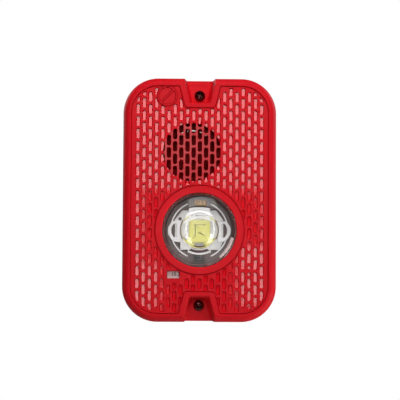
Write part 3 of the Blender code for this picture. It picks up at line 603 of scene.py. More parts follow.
def open_plane(data, out, facing):
    """Splits a mesh into faces to keep and the outlines left by the flat faces at one distance from the wall."""
    outs = [-vert.co.y / MM for vert in data.vertices]
    keep, edges = [], set()
    for polygon in data.polygons:
        flat = all(abs(outs[index] - out) < 0.004 for index in polygon.vertices)
        if flat and polygon.normal.y * facing < -0.9:
            loop = list(polygon.vertices)
            edges |= set(zip(loop, loop[1:] + loop[:1]))
        else:
            keep.append(list(polygon.vertices))
    return keep, followed({a: b for a, b in edges if (b, a) not in edges})


def soft_min(first, second, width):
    blend = np.maximum(width - np.abs(first - second), 0.0) / width
    return np.minimum(first, second) - blend * blend * width / 4


def box_distance(x, z, half_x, half_z):
    """How far outside a rectangle about the origin each place is; negative inside."""
    over_x, over_z = np.abs(x) - half_x, np.abs(z) - half_z
    outside = np.hypot(np.maximum(over_x, 0.0), np.maximum(over_z, 0.0))
    return outside + np.minimum(np.maximum(over_x, over_z), 0.0)


def slot_distance(x, z, middle_x, middle_z):
    """How far inside a slot with round corners each place is."""
    half_x, half_z = (half - POCKET_CORNER for half in POCKET_HALF)
    return POCKET_CORNER - box_distance(x - middle_x, z - middle_z, half_x, half_z)


def pocket_out(depth_inside):
    """The height of a pocket's surface at a distance inside its edge."""
    return np.interp(depth_inside, *zip(*POCKET_STEPS))


def lattice_room(panel, x, z):
    """How far each place is inside the lattice, which ends at the edge, emblem, lens ring and window."""
    near_scoop = (np.abs(x) < SCOOP_ZONE_X) & (np.abs(z) > SCOOP_ZONE_Z)
    edge = inside_distance(panel, x, z) - np.where(near_scoop, SCOOP_MARGIN, PANEL_MARGIN)
    emblem = np.hypot(x - EMBLEM[0], z - EMBLEM[1]) - EMBLEM[2] - EMBLEM_MARGIN
    ring = np.hypot(x, z - LENS_Z) - RING_RADIUS - RING_MARGIN
    middle_x, middle_z, width, height = WINDOW
    pad = box_distance(x - middle_x - PAD_SHIFT[0], z - middle_z - PAD_SHIFT[1],
                       width / 2 + PAD_MARGIN[0], height / 2 + PAD_MARGIN[1])
    return np.minimum(np.minimum(edge, emblem), np.minimum(ring, pad))


def pocket_depth(panel, x, z, middle_x, middle_z):
    """How far inside a pocket, cut short by what it meets, each place is."""
    return soft_min(slot_distance(x, z, middle_x, middle_z), lattice_room(panel, x, z), CORNER_BLEND)


def sample_grid(low_x, high_x, low_z, high_z, step):
    xs, zs = np.arange(low_x, high_x, step), np.arange(low_z, high_z, step)
    return xs, zs, *np.meshgrid(xs, zs, indexing="ij")


def wanted_runs(loop, wanted):
    """The unbroken runs of a closed loop's wanted points, of two points or more."""
    start = next(i for i in range(len(loop)) if wanted[i] and not wanted[i - 1])
    run = []
    for i in range(start, start + len(loop)):
        index = i % len(loop)
        if wanted[index]:
            run.append(loop[index])
            continue
        if len(run) > 1:
            yield run
        run = []
    if len(run) > 1:
        yield run


def add_plain_pocket(sheet, x, z):
    for inset, out in POCKET_STEPS:
        corner = max(POCKET_CORNER - inset, 0.25)
        half_x, half_z = POCKET_HALF[0] - inset, POCKET_HALF[1] - inset
        sheet.add(rounded_outline(half_x, half_z, corner, 5, x, z), out)


def add_plain_opening(sheet, holes, x, z):
    sheet.add(rounded_outline(*POCKET_HALF, POCKET_CORNER, 5, x, z), PANEL_OUT)
    half_x, half_z = POCKET_HALF[0] - OPENING_INSET, POCKET_HALF[1] - OPENING_INSET
    points = rounded_outline(half_x, half_z, POCKET_CORNER - OPENING_INSET, 5, x, z)
    holes.append(sheet.add(points, OPENING_OUT, bounds="inner"))


def add_cut_pocket(sheet, holes, panel, x, z, meets_horn):
    """A pocket that something cuts short. The part of it inside the horn's circle is open."""
    step = 0.07
    reach_x, reach_z = (half + 0.2 for half in POCKET_HALF)
    xs, zs, grid_x, grid_z = sample_grid(x - reach_x, x + reach_x, z - reach_z, z + reach_z, step)
    depth = pocket_depth(panel, grid_x, grid_z, x, z)
    if depth.max() < LEAST_DEPTH or (depth > 0.0).any(axis=0).sum() * step < LEAST_HEIGHT:
        return
    horn = HORN[2] - np.hypot(grid_x - HORN[0], grid_z - HORN[1])
    opening = np.minimum(depth - OPENING_INSET, horn)
    is_open = meets_horn and opening.max() > 0.3
    for inset, out in POCKET_STEPS:
        for loop in contour_loops(depth, xs, zs, inset):
            loop = thinned(loop)
            if len(loop) < 6:
                continue
            outside = [math.hypot(px - HORN[0], pz - HORN[1]) > HORN[2] + 0.05 for px, pz in loop]
            if not is_open or inset == 0.0 or all(outside):
                sheet.add(loop, out)
            elif any(outside):
                for run in wanted_runs(loop, outside):
                    sheet.add(run, out, closed=False)
    if is_open:
        for loop in contour_loops(opening, xs, zs, 0.0):
            loop = thinned(loop, 0.006)
            if len(loop) < 6:
                continue
            inside = pocket_depth(panel, *np.array(loop).T, x, z)
            holes.append(sheet.add(loop, pocket_out(inside), bounds="inner"))


def add_lattice(sheet, holes, panel):
    """Plain pockets and openings, cut ones where something is in the way, and two dots in place of one slot."""
    for column in range(-11, 12):
        x = column * COLUMN_SPACING
        offset = ROW_PITCH / 2 if column % 2 else 0.0
        for row in range(-10, 10):
            z = EVEN_ROW_Z + offset + row * ROW_PITCH
            if (column, row) == DOT_SLOT:
                for middle in (z - DOT_OFFSET, z + DOT_OFFSET):
                    for inset, out in POCKET_STEPS:
                        sheet.add(circle_outline(DOT_RADIUS - inset, 20, x, middle), out)
                continue
            edge_x, edge_z = np.array(rounded_outline(*POCKET_HALF, POCKET_CORNER, 5, x, z)).T
            room = lattice_room(panel, edge_x, edge_z)
            if room.max() < 0.2:
                continue
            horn = HORN[2] - np.hypot(edge_x - HORN[0], edge_z - HORN[1])
            clear = room.min() > 0.02
            if clear and horn.min() > 0.05:
                add_plain_opening(sheet, holes, x, z)
            elif clear and horn.max() < -0.05:
                add_plain_pocket(sheet, x, z)
            else:
                add_cut_pocket(sheet, holes, panel, x, z, horn.max() > 0.05)


def add_lens_ring(sheet, holes):
    for radius, out in RING_STEPS:
        sheet.add(circle_outline(radius, RING_SIDES, 0.0, LENS_Z), out)
    points = circle_outline(LENS_OPENING, RING_SIDES, 0.0, LENS_Z)
    holes.append(sheet.add(points, RING_EDGE_OUT, bounds="inner"))


def add_window(sheet, holes):
    """The window's opening, with a bevel round it."""
    middle_x, middle_z, width, height = WINDOW
    sheet.add(rounded_outline(width / 2 + 0.42, height / 2 + 0.42, 0.5, 4, middle_x, middle_z), PANEL_OUT)
    points = rounded_outline(width / 2, height / 2, 0.25, 4, middle_x, middle_z)
    holes.append(sheet.add(points, WINDOW_OUT, bounds="inner"))


def add_emblem(sheet):
    """A raised ring with a bar across it."""
    middle_x, middle_z, radius = EMBLEM
    reach = radius + 0.3
    xs, zs, grid_x, grid_z = sample_grid(
        middle_x - reach, middle_x + reach, middle_z - reach, middle_z + reach, 0.06)
    grid_x, grid_z = grid_x - middle_x, grid_z - middle_z
    ring = 0.5 - np.abs(np.hypot(grid_x, grid_z) - radius + 0.5)
    along = (grid_x + grid_z) * math.sqrt(0.5)
    across = (grid_z - grid_x) * math.sqrt(0.5)
    bar = np.minimum(0.5 - np.abs(across), radius - 0.4 - np.abs(along))
    shape = -soft_min(-ring, -bar, 0.35)
    for inset, out in EMBLEM_STEPS:
        for loop in contour_loops(shape, xs, zs, inset):
            sheet.add(thinned(loop, 0.01), out)


def face_kind(sheet, corners):
    """Which finish a front triangle takes, from its heights and from whether it lies over the sounder."""
    outs = [sheet.outs[corner] for corner in corners]
    if all(abs(out - FLOOR_OUT) < 1e-6 for out in outs):
        return FLOOR_KIND
    if min(outs) < WALL_BELOW_OUT:
        return WALL_KIND
    middle_x, middle_z = (sum(sheet.places[corner][axis] for corner in corners) / 3 for axis in (0, 1))
    over_sounder = math.hypot(middle_x - HORN[0], middle_z - HORN[1]) < HORN[2] - 0.3
    return RIB_KIND if over_sounder else FACE_KIND


class Skin:
    """The cover's points and faces, gathered from its shell and from the sheets that close it."""

    def __init__(self, places):
        self.places = places
        self.faces = []
        self.kinds = []

    def flat(self, loop):
        return [(self.places[index][0] / MM, self.places[index][2] / MM) for index in loop]

    def add(self, face, kind=FACE_KIND):
        self.faces.append(face)
        self.kinds.append(kind)

    def weave(self, sheet, front):
        """Adds a sheet's points and triangles, and returns the index that each of its points has here."""
        kept, origins = sheet.triangles()
        shared = {index: origin[0] for origin in origins for index in origin}
        indices = {}
        for index in range(len(sheet.places)):
            root = shared.get(index, index)
            if root not in indices:
                known = sheet.known[root]
                if known is None:
                    x, z = sheet.places[root]
                    self.places.append((x * MM, -sheet.outs[root] * MM, z * MM))
                    known = len(self.places) - 1
                indices[root] = known
            indices[index] = indices[root]
        for corners in kept:
            face = [indices[corner] for corner in corners]
            if front:
                self.add(face, face_kind(sheet, corners))
            else:
                self.add(face[::-1])
        return indices

    def line_hole(self, front, back):
        """Adds the wall of a hole between its two rims, with equal numbers of points."""
        for i in range(len(front)):
            j = (i + 1) % len(front)
            self.add([front[i], front[j], back[j], back[i]])


def make_front_cover():
    panel = panel_outline()
    shell = cover_shell(panel)
    faces, front_loops = open_plane(shell.data, GROOVE_OUT, 1)
    skin = Skin([tuple(vert.co) for vert in shell.data.vertices])
    bpy.data.objects.remove(shell, do_unlink=True)
    spare = bpy.data.meshes.new("spare")
    spare.from_pydata(skin.places, [], faces)
    spare.update()
    faces, back_loops = open_plane(spare, PANEL_BACK_OUT, -1)
    bpy.data.meshes.remove(spare)
    for face in faces:
        skin.add(face)

    sheet, holes = Sheet(), []
    for loop in front_loops:
        sheet.add(skin.flat(loop), GROOVE_OUT, bounds="outer", known=loop)
    for inset, out in PANEL_EDGE:
        sheet.add(moved_in(panel, inset), out)
    add_lens_ring(sheet, holes)
    add_window(sheet, holes)
    add_emblem(sheet)
    add_lattice(sheet, holes, panel)
    front_indices = skin.weave(sheet, True)

    back = Sheet()
    sizes = [abs(outline_area(skin.flat(loop))) for loop in back_loops]
    for loop, size in zip(back_loops, sizes):
        kind = "outer" if size == max(sizes) else "inner"
        back.add(skin.flat(loop), PANEL_BACK_OUT, bounds=kind, known=loop)
    back_holes = []
    for hole in holes:
        first, count, _ = sheet.loops[hole]
        back_holes.append(back.add(sheet.places[first:first + count], PANEL_BACK_OUT, bounds="inner"))
    back_indices = skin.weave(back, False)
    for hole, other in zip(holes, back_holes):
        first, count, _ = sheet.loops[hole]
        start = back.loops[other][0]
        skin.line_hole([front_indices[first + i] for i in range(count)],
                       [back_indices[start + i] for i in range(count)])

    data = bpy.data.meshes.new("front_cover_skin")
    data.from_pydata(skin.places, [], skin.faces)
    data.polygons.foreach_set("material_index", skin.kinds)
    data.update()
    made = linked("front_cover_skin", data)
    shade(made, 28.0)
    return made


def outline_area(points):
    array = np.array(points)
    after = np.roll(array, -1, axis=0)
    return float((array[:, 0] * after[:, 1] - after[:, 0] * array[:, 1]).sum() / 2)


# ---------------------------------------------------------------- finishes

WHITE = (1.0, 1.0, 1.0, 1.0)
DUST_COLOR = (0.62, 0.58, 0.54, 1.0)
# Colour of the painted glow that lifts a surface as if lit, though it is no lamp
PAINTED_GLOW_COLOR = (1.0, 0.88, 0.87, 1.0)


def new_group(name, inputs, outputs):
    tree = bpy.data.node_groups.new(name, "ShaderNodeTree")
    for label, value in inputs:
        socket = tree.interface.new_socket(label, in_out="INPUT", socket_type="NodeSocketFloat")
        socket.default_value = value
    for label in outputs:
        tree.interface.new_socket(label, in_out="OUTPUT", socket_type="NodeSocketFloat")
    return tree, tree.nodes.new("NodeGroupInput"), tree.nodes.new("NodeGroupOutput")


def noise_node(tree, scale, detail=3.0, roughness=0.5):
    node = tree.nodes.new("ShaderNodeTexNoise")
    set_sockets(node, Scale=scale, Detail=detail, Roughness=roughness)
    return node


def range_node(tree, source, low, high, to_low, to_high):
    node = tree.nodes.new("ShaderNodeMapRange")
    set_sockets(node, From_Min=low, From_Max=high, To_Min=to_low, To_Max=to_high)
    tree.links.new(source, node.inputs["Value"])
    return node.outputs["Result"]


def math_node(tree, operation, first, second):
    node = tree.nodes.new("ShaderNodeMath")
    node.operation = operation
    for socket, value in zip(node.inputs, (first, second)):
        if isinstance(value, (int, float)):
            socket.default_value = value
        else:
            tree.links.new(value, socket)
    return node.outputs[0]


def grain_group():
    """Moulding grain: a fine height, and a broad mask that varies slowly over the surface."""
    tree = bpy.data.node_groups.get("moulding_grain")
    if tree:
        return tree
    tree, entry, leave = new_group("moulding_grain", (("Scale", 4000.0), ("Broad Scale", 90.0)), ("Fine", "Broad"))
    place = tree.nodes.new("ShaderNodeTexCoord")
    for scale, label, detail in (("Scale", "Fine", 3.0), ("Broad Scale", "Broad", 2.0)):
        node = noise_node(tree, 1.0, detail)
        tree.links.new(place.outputs["Object"], node.inputs["Vector"])
        tree.links.new(entry.outputs[scale], node.inputs["Scale"])
        tree.links.new(node.outputs["Fac"], leave.inputs[label])
    return tree


def mask_group(name, amount, facing, limits, noise, broken):
    """A group that gives a mask, broken up by noise, where edges stand out or where the surface faces up."""
    tree = bpy.data.node_groups.get(name)
    if tree:
        return tree
    tree, entry, leave = new_group(name, (("Amount", amount),), ("Mask",))
    shape = tree.nodes.new("ShaderNodeNewGeometry")
    place = tree.nodes.new("ShaderNodeTexCoord")
    source = shape.outputs["Pointiness"]
    if facing:
        apart = tree.nodes.new("ShaderNodeSeparateXYZ")
        tree.links.new(shape.outputs["Normal"], apart.inputs[0])
        source = apart.outputs["Z"]
    where = range_node(tree, source, *limits, 0.0, 1.0)
    node = noise_node(tree, *noise)
    tree.links.new(place.outputs["Object"], node.inputs["Vector"])
    patchy = range_node(tree, node.outputs["Fac"], *broken, 1.0)
    mask = math_node(tree, "MULTIPLY", where, patchy)
    tree.links.new(math_node(tree, "MULTIPLY", mask, entry.outputs["Amount"]), leave.inputs["Mask"])
    return tree


def wear_group():
    """Edge wear: a broken mask along the outer edges."""
    return mask_group("edge_wear", 0.5, False, (0.53, 0.62), (700.0, 4.0, 0.6), (0.35, 0.65, 0.2))


def dust_group():
    """Dust that settles on what faces up."""
    return mask_group("settled_dust", 0.1, True, (0.15, 1.0), (500.0, 5.0, 0.65), (0.3, 0.7, 0.1))


def blend_by_ray(tree, ray, share, usual, other, output):
    """Shows a share of the other shader to one kind of ray, and the usual shader to the rest."""
    path = tree.nodes.new("ShaderNodeLightPath")
    blend = tree.nodes.new("ShaderNodeMixShader")
    chosen = path.outputs[ray]
    if share < 1.0:
        chosen = math_node(tree, "MULTIPLY", chosen, share)
    for source, socket in zip((chosen, usual.outputs[0], other.outputs[0]), blend.inputs):
        tree.links.new(source, socket)
    tree.links.new(blend.outputs[0], tree.nodes[output].inputs["Surface"])


def mix_colors(tree, factor, first, second):
    node = tree.nodes.new("ShaderNodeMix")
    node.data_type = "RGBA"
    sockets = [socket for socket in node.inputs if socket.type == "RGBA"]
    for socket, value in zip(sockets, (first, second)):
        if isinstance(value, tuple):
            socket.default_value = value
        else:
            tree.links.new(value, socket)
    tree.links.new(factor, node.inputs[0])
    return next(socket for socket in node.outputs if socket.type == "RGBA")


def shade_of(color, share=1.0):
    return tuple(min(1.0, channel * share) for channel in color[:3]) + (1.0,)


def new_material(name):
    made = bpy.data.materials.new(name)
    made.use_nodes = True
    return made, made.node_tree, made.node_tree.nodes["Principled BSDF"]


def set_sockets(node, **values):
    """Sets sockets by name, with _ for a space."""
    for label, value in values.items():
        node.inputs[label.replace("_", " ")].default_value = value


def place_group(tree, group, **values):
    node = tree.nodes.new("ShaderNodeGroup")
    node.node_tree = group
    set_sockets(node, **values)
    return node


def pattern_mask(tree, pattern, scale):
    """A mask for finishes with a drawn surface: wound wire, turned metal, printed tracks or a glass weave."""
    place = tree.nodes.new("ShaderNodeTexCoord")
    if pattern in ("wound", "turned"):
        node = tree.nodes.new("ShaderNodeTexWave")
        node.wave_type = "BANDS" if pattern == "wound" else "RINGS"
        if pattern == "wound":
            node.bands_direction = "Z"
        else:
            node.rings_direction = "Y"
        set_sockets(node, Scale=scale, Distortion=0.4)
        tree.links.new(place.outputs["Object"], node.inputs["Vector"])
        return node.outputs["Fac"]
    if pattern == "tracks":
        node = tree.nodes.new("ShaderNodeTexBrick")
        set_sockets(node, Scale=scale, Mortar_Size=0.03, Color1=shade_of(WHITE, 0.0),
                    Color2=shade_of(WHITE, 0.15), Mortar=WHITE)
        turn = tree.nodes.new("ShaderNodeMapping")
        turn.inputs["Rotation"].default_value = (math.radians(90.0), 0.0, 0.0)
        tree.links.new(place.outputs["Object"], turn.inputs["Vector"])
        tree.links.new(turn.outputs[0], node.inputs["Vector"])
        return node.outputs["Color"]
    node = tree.nodes.new("ShaderNodeTexVoronoi")
    node.inputs["Scale"].default_value = scale
    tree.links.new(place.outputs["Object"], node.inputs["Vector"])
    return node.outputs["Distance"]


def finish(name, color, roughness, metallic=0.0, grain=3500.0, bump=0.25, bump_depth=0.00003, spread=0.06,
           wear=0.0, dust=0.0, specular=0.5, pattern=None, pattern_scale=900.0,
           pattern_color=None, pattern_bump=0.0, roughness_spread=0.05, glow=0.0):
    """A moulded, metal or printed surface with grain, slow colour variation, worn edges, dust and, where asked, a
    painted glow.
    """
    made = bpy.data.materials.get(name)
    if made:
        return made
    made, tree, shader = new_material(name)
    shader.inputs["Metallic"].default_value = metallic
    shader.inputs["Specular IOR Level"].default_value = specular
    shader.inputs["Emission Color"].default_value = PAINTED_GLOW_COLOR
    shader.inputs["Emission Strength"].default_value = glow
    grained = place_group(tree, grain_group(), Scale=grain, Broad_Scale=80.0)
    surface = mix_colors(tree, grained.outputs["Broad"], shade_of(color, 1 - spread), shade_of(color, 1 + spread))
    height = grained.outputs["Fine"]
    if pattern:
        mask = pattern_mask(tree, pattern, pattern_scale)
        surface = mix_colors(tree, mask, surface, shade_of(pattern_color) if pattern_color else shade_of(color, 0.6))
        if pattern_bump:
            height = math_node(tree, "ADD", height, math_node(tree, "MULTIPLY", mask, pattern_bump))
    if wear:
        worn = place_group(tree, wear_group(), Amount=wear)
        pale = tuple(channel + (1.0 - channel) * 0.3 for channel in color[:3]) + (1.0,)
        surface = mix_colors(tree, worn.outputs["Mask"], surface, pale)
    if dust:
        dusty = place_group(tree, dust_group(), Amount=dust)
        surface = mix_colors(tree, dusty.outputs["Mask"], surface, DUST_COLOR)
    tree.links.new(surface, shader.inputs["Base Color"])
    varied = range_node(tree, grained.outputs["Broad"], 0.3, 0.7, roughness - roughness_spread,
                        roughness + roughness_spread)
    tree.links.new(varied, shader.inputs["Roughness"])
    relief = tree.nodes.new("ShaderNodeBump")
    relief.inputs["Strength"].default_value = bump
    relief.inputs["Distance"].default_value = bump_depth
    tree.links.new(height, relief.inputs["Height"])
    tree.links.new(relief.outputs["Normal"], shader.inputs["Normal"])
    return made


def clear_finish(name, color, roughness, ior, transmission=1.0):
    """A clear moulding with faint smears that change its gloss, which lets the lamps' light through."""
    made, tree, shader = new_material(name)
    shader.inputs["Transmission Weight"].default_value = transmission
    shader.inputs["IOR"].default_value = ior
    grained = place_group(tree, grain_group(), Scale=260.0, Broad_Scale=55.0)
    surface = mix_colors(tree, grained.outputs["Broad"], shade_of(color, 0.98), shade_of(color))
    tree.links.new(surface, shader.inputs["Base Color"])
    varied = range_node(tree, grained.outputs["Fine"], 0.35, 0.75, roughness, roughness + 0.05)
    tree.links.new(varied, shader.inputs["Roughness"])
    through = tree.nodes.new("ShaderNodeBsdfTransparent")
    blend_by_ray(tree, "Is Shadow Ray", 1.0, shader, through, "Material Output")
    return made


def cover_finishes(color):
    """The cover's moulded face, polished pocket floors painted lighter as painted light, smooth ribs over the sounder
    painted darker and recess walls painted darker still, both as painted shade.
    """
    return (
        finish("red_cover_moulding", color, 0.58, grain=5200.0, bump=0.35, bump_depth=0.00004, spread=0.05,
               wear=0.03, dust=0.006, specular=0.25),
        # Pocket floors: the plastic lightened by a quarter, painted light beside their real gloss
        finish("polished_pocket_floor_painted_light", shade_of(color, 1.25), 0.07, grain=900.0, bump=0.01,
               bump_depth=0.00001, spread=0.02, roughness_spread=0.02),
        # Ribs over the sounder: the plastic darkened, painted shade
        finish("smooth_horn_rib", shade_of(color, 0.8), 0.25, grain=2600.0, bump=0.05, bump_depth=0.00002,
               spread=0.04, specular=0.22),
        # Recess walls: the plastic darkened more, painted shade in the pockets
        finish("shaded_recess_wall", shade_of(color, 0.7), 0.6, grain=5200.0, bump=0.2, specular=0.1))


def steel_finish():
    return finish("plated_steel", (0.55, 0.54, 0.52), 0.3, metallic=1.0, grain=2500.0, bump=0.15,
                  bump_depth=0.00002, spread=0.12, wear=0.3, pattern="turned", pattern_scale=700.0,
                  pattern_color=(0.42, 0.41, 0.4))


def brass_finish():
    return finish("brass", (0.72, 0.46, 0.16), 0.28, metallic=1.0, grain=2600.0, bump=0.12, spread=0.15, wear=0.4)


def black_moulding():
    return finish("black_moulding", (0.022, 0.022, 0.024), 0.42, grain=4200.0, bump=0.25, spread=0.2, wear=0.25)


def white_moulding():
    return finish("white_moulding", (0.78, 0.77, 0.73), 0.38, grain=3600.0, bump=0.15, spread=0.03, wear=0.15)


# ---------------------------------------------------------------- strobe

def lens_crown(crown, rim):
    """(radius, out) down to the axis: nearly flat in the middle, and falling away ever more steeply to the rim."""
    shares = [1.0 - (step / 24) ** 1.6 for step in range(24)]
    return [(rim * share, crown - LENS_FALL * (rim * share / 20.0) ** 4) for share in shares]


def tube(sections, closed):
    """A bmesh turned about the lens's axis from (radius, out) pairs, closed on itself or at both ends."""
    mesh = bmesh.new()
    rings = []
    for radius, out in sections:
        ring = circle_outline(radius, LENS_SIDES, 0.0, LENS_Z)
        rings.append([mesh.verts.new((x * MM, -out * MM, z * MM)) for x, z in ring])
    for one, other in zip(rings, rings[1:] + rings[:1] if closed else rings[1:]):
        for i in range(LENS_SIDES):
            j = (i + 1) % LENS_SIDES
            mesh.faces.new((one[i], one[j], other[j], other[i]))
    if not closed:
        mesh.faces.new(rings[0])
        mesh.faces.new(rings[-1])
    return mesh


def make_lens():
    """The clear shell, from the middle of its inside, over its flange, to the middle of its crown."""
    outer = [(21.9, 27.5), (21.9, 29.0), (20.25, 29.02), (20.2, 34.9)] + lens_crown(41.0, 20.0)
    inner = [(19.0, 27.5), (19.0, 34.6)] + lens_crown(39.8, 18.9)
    return object_from("strobe_lens", tube(list(reversed(inner)) + outer, False), 40.0)


def make_gasket():
    """The dark seal between the lens and the cover."""
    sections = ((20.26, 29.1), (20.46, 29.1), (20.46, 31.3), (20.4, 31.38), (20.32, 31.38), (20.26, 31.3))
    return object_from("lens_gasket", tube(sections, True))


def arc_outline(inner, outer, start, end, steps, middle_x=0.0, middle_z=LENS_Z):
    """A stretch of a ring, between two angles in degrees."""
    turns = [math.radians(start + (end - start) * step / steps) for step in range(steps + 1)]
    return [(middle_x + radius * math.cos(turn), middle_z + radius * math.sin(turn))
            for radius, order in ((outer, turns), (inner, reversed(turns))) for turn in order]


def arcs(base, rows, steps):
    """A bmesh of curved walls, from (inner, outer, back, front, start, end) above the optic's base."""
    walls = []
    for inner, outer, back, front, start, end in rows:
        outline = arc_outline(inner, outer, start, end, steps)
        walls.append(((base + back, outline), (base + front, outline)))
    return lofted(*walls)


def optic_base():
    return Extent("led_optic").back


def make_optic_dome():
    """The magnifying dome over the emitter."""
    base = optic_base()
    mesh = bmesh.new()
    profile = [(9.6, base + 2.6), (10.1, base + 2.8), (10.2, base + 6.0)]
    for step in range(1, 9):
        angle = math.radians(90.0 * step / 8)
        profile.append((7.2 + 3.0 * math.cos(angle), base + 6.0 + 3.6 * math.sin(angle)))
    profile.append((1.0, base + 9.62))
    add_turned(mesh, profile, 96, 0.0, LENS_Z)
    dome = object_from("optic_dome", mesh, 30.0)
    mesh = bmesh.new()
    add_turned(mesh, ((7.6, base + 1.0), (7.4, base + 3.0), (5.0, base + 3.5), (1.0, base + 3.6)), 64, 0.0, LENS_Z)
    cut(dome, mesh)
    return dome


def sided(side, corners):
    """A filleted outline on the strobe's right, or its mirror image on the left, from clockwise corners."""
    points = filleted_outline([(x, z + LENS_Z, radius) for x, z, radius in reversed(corners)], 6)
    return points if side > 0 else [(-x, z) for x, z in reversed(points)]


def ear_outline(side):
    return sided(side, [(9.9, 5.2, 0.3), (14.9, 4.8, 2.6), (17.2, 1.2, 4.0), (17.0, -2.4, 4.0),
                        (14.4, -6.3, 2.8), (9.9, -6.9, 0.3)])


def eye_outline(side, grow=0.0):
    return sided(side, [(12.5 - grow, 3.5 + grow, 0.7), (14.1, 3.2 + grow, 1.4), (15.3 + grow, 0.6, 2.6),
                        (15.1 + grow, -1.8, 2.6), (13.9, -4.1 - grow, 1.4), (12.5 - grow, -4.2 - grow, 0.7)])


def make_optic_frame():
    """The milky frame round the dome: a thin hoop, an ear with an eye at each side, and two arched bars."""
    base = optic_base()
    ears = []
    for side in (-1, 1):
        ear = ear_outline(side)
        ears.append(((base + 3.0, ear), (base + 5.4, ear), (base + 5.8, moved_in(ear, 0.3))))
    piece = object_from("optic_frame", lofted(*ears), 30.0)
    cut(piece, lofted(*(((base + 2.0, eye_outline(side)), (base + 5.2, eye_outline(side)),
                         (base + 6.2, eye_outline(side, 0.5))) for side in (-1, 1))))
    join(piece, arcs(base, [(15.2, 15.85, 2.6, 4.4, start, start + 132.0) for start in (-66.0, 114.0)], 48))
    join(piece, arcs(base, [(10.6, 11.2, 2.8, 5.0, start, start + 33.0) for start in (28.0, 119.0, 208.0, 299.0)], 16))
    top = filleted_outline([(5.9, 7.4, 0.3), (5.9, 11.9, 0.9), (2.4, 12.5, 6.0), (-2.4, 12.5, 6.0),
                            (-5.9, 11.9, 0.9), (-5.9, 7.4, 0.3)], 4)
    top = [(x, z + LENS_Z) for x, z in top]
    join(piece, lofted(((base + 3.1, top), (base + 7.0, top), (base + 7.4, moved_in(top, 0.35)))))
    grooves = []
    for inner, outer, deep in ((9.1, 9.75, 1.6), (7.9, 8.25, 1.1), (11.0, 11.25, 0.8)):
        reach = math.degrees(math.acos(min(0.98, 5.0 / outer)))
        grooves.append((inner, outer, 7.4 - deep, 8.4, reach, 180.0 - reach))
    cut(piece, arcs(base, grooves, 20))
    mesh = arcs(base, [(12.5, 13.5, 3.0, 7.2, 245.0, 295.0)], 24)
    for low_x in (-6.3, 5.6):
        add_block(mesh, low_x, low_x + 0.7, base + 3.2, base + 6.6, LENS_Z - 12.4, LENS_Z - 6.8, 0.2)
    join(piece, mesh)
    join(piece, arcs(base, [(10.5, 11.1, 3.3, 6.0, 243.0, 297.0)], 24))
    return piece


def make_optic_shade_arcs():
    """Dark arcs laid over the optic beside the dome, above it and below it: painted shade where its edges look dark.
    """
    return object_from("optic_painted_shade", arcs(optic_base(), (
        (10.3, 10.72, 5.85, 6.05, -30.0, 30.0), (10.3, 10.72, 5.85, 6.05, 150.0, 210.0),
        (9.0, 9.32, 7.95, 8.4, 58.0, 122.0), (10.9, 11.05, 7.3, 7.5, 64.0, 116.0),
        (7.75, 7.95, 9.0, 9.3, 66.0, 80.0), (7.75, 7.95, 9.0, 9.3, 86.0, 104.0),
        (8.7, 9.3, 7.9, 8.5, 250.0, 290.0), (10.3, 11.9, 4.4, 4.7, 246.0, 294.0)), 20))


def make_board():
    """The white light board: clipped upper corners, square lower ones and a wire hole."""
    board = Extent("led_board")
    half_x, top, bottom = board.half_x, board.high_z, board.low_z
    outline = filleted_outline([
        (9.3, top, 0.2), (-9.3, top, 0.2), (-half_x, top - 5.2, 0.2), (-half_x, bottom + 4.4, 0.2),
        (-10.4, bottom + 4.2, 0.2), (-10.4, bottom, 0.2), (11.3, bottom, 0.2), (half_x, bottom + 5.2, 0.2),
        (half_x, top - 5.2, 0.2)], 3)
    made = object_from("light_board", lofted((
        (board.back, outline), (board.front - 0.1, outline), (board.front, moved_in(outline, 0.1)))))
    mesh = bmesh.new()
    add_hole(mesh, (0.95, board.back - 1, board.front + 1), -10.6, LENS_Z + 6.2, 24)
    cut(made, mesh)
    return made


def make_emitter():
    """The emitter, at the size at which its optic shows it."""
    emitter = Extent("led_emitter")
    front = emitter.front
    body = rounded_outline(emitter.half_x + 1.1, emitter.half_x + 1.6, 2.3, 8, 0.2, LENS_Z - 0.6)
    return object_from("light_emitter", lofted((
        (emitter.back, body), (front - 0.4, body), (front - 0.15, moved_in(body, 0.3)),
        (front, moved_in(body, 0.7)))), 30.0)


def make_die_lines():
    """The dark bond lines on the emitter: an angle at the upper left and an open fork at the lower right."""
    front = Extent("led_emitter").front
    strokes = []
    for (ax, az), (bx, bz), width in (
            ((-2.9, 2.9), (3.6, 3.0), 0.3), ((-2.3, 2.8), (-2.2, -3.2), 0.42), ((-2.2, -3.2), (-3.6, -4.6), 0.24),
            ((-2.2, 2.7), (-0.3, 1.2), 0.24), ((-0.6, -1.4), (1.0, -2.1), 0.4), ((1.0, -2.0), (3.1, -3.1), 0.4),
            ((0.2, -0.9), (1.4, -2.0), 0.22), ((2.2, 2.3), (3.0, 2.9), 0.24)):
        along = Vector((bx - ax, bz - az)).normalized()
        side = Vector((-along.y, along.x)) * width / 2
        outline = [(x + side.x * turn, z + side.y * turn + LENS_Z)
                   for x, z, turn in ((ax, az, 1), (ax, az, -1), (bx, bz, -1), (bx, bz, 1))]
        strokes.append(((front - 0.06, outline), (front + 0.06, outline)))
    return object_from("emitter_bond_lines", lofted(*strokes))


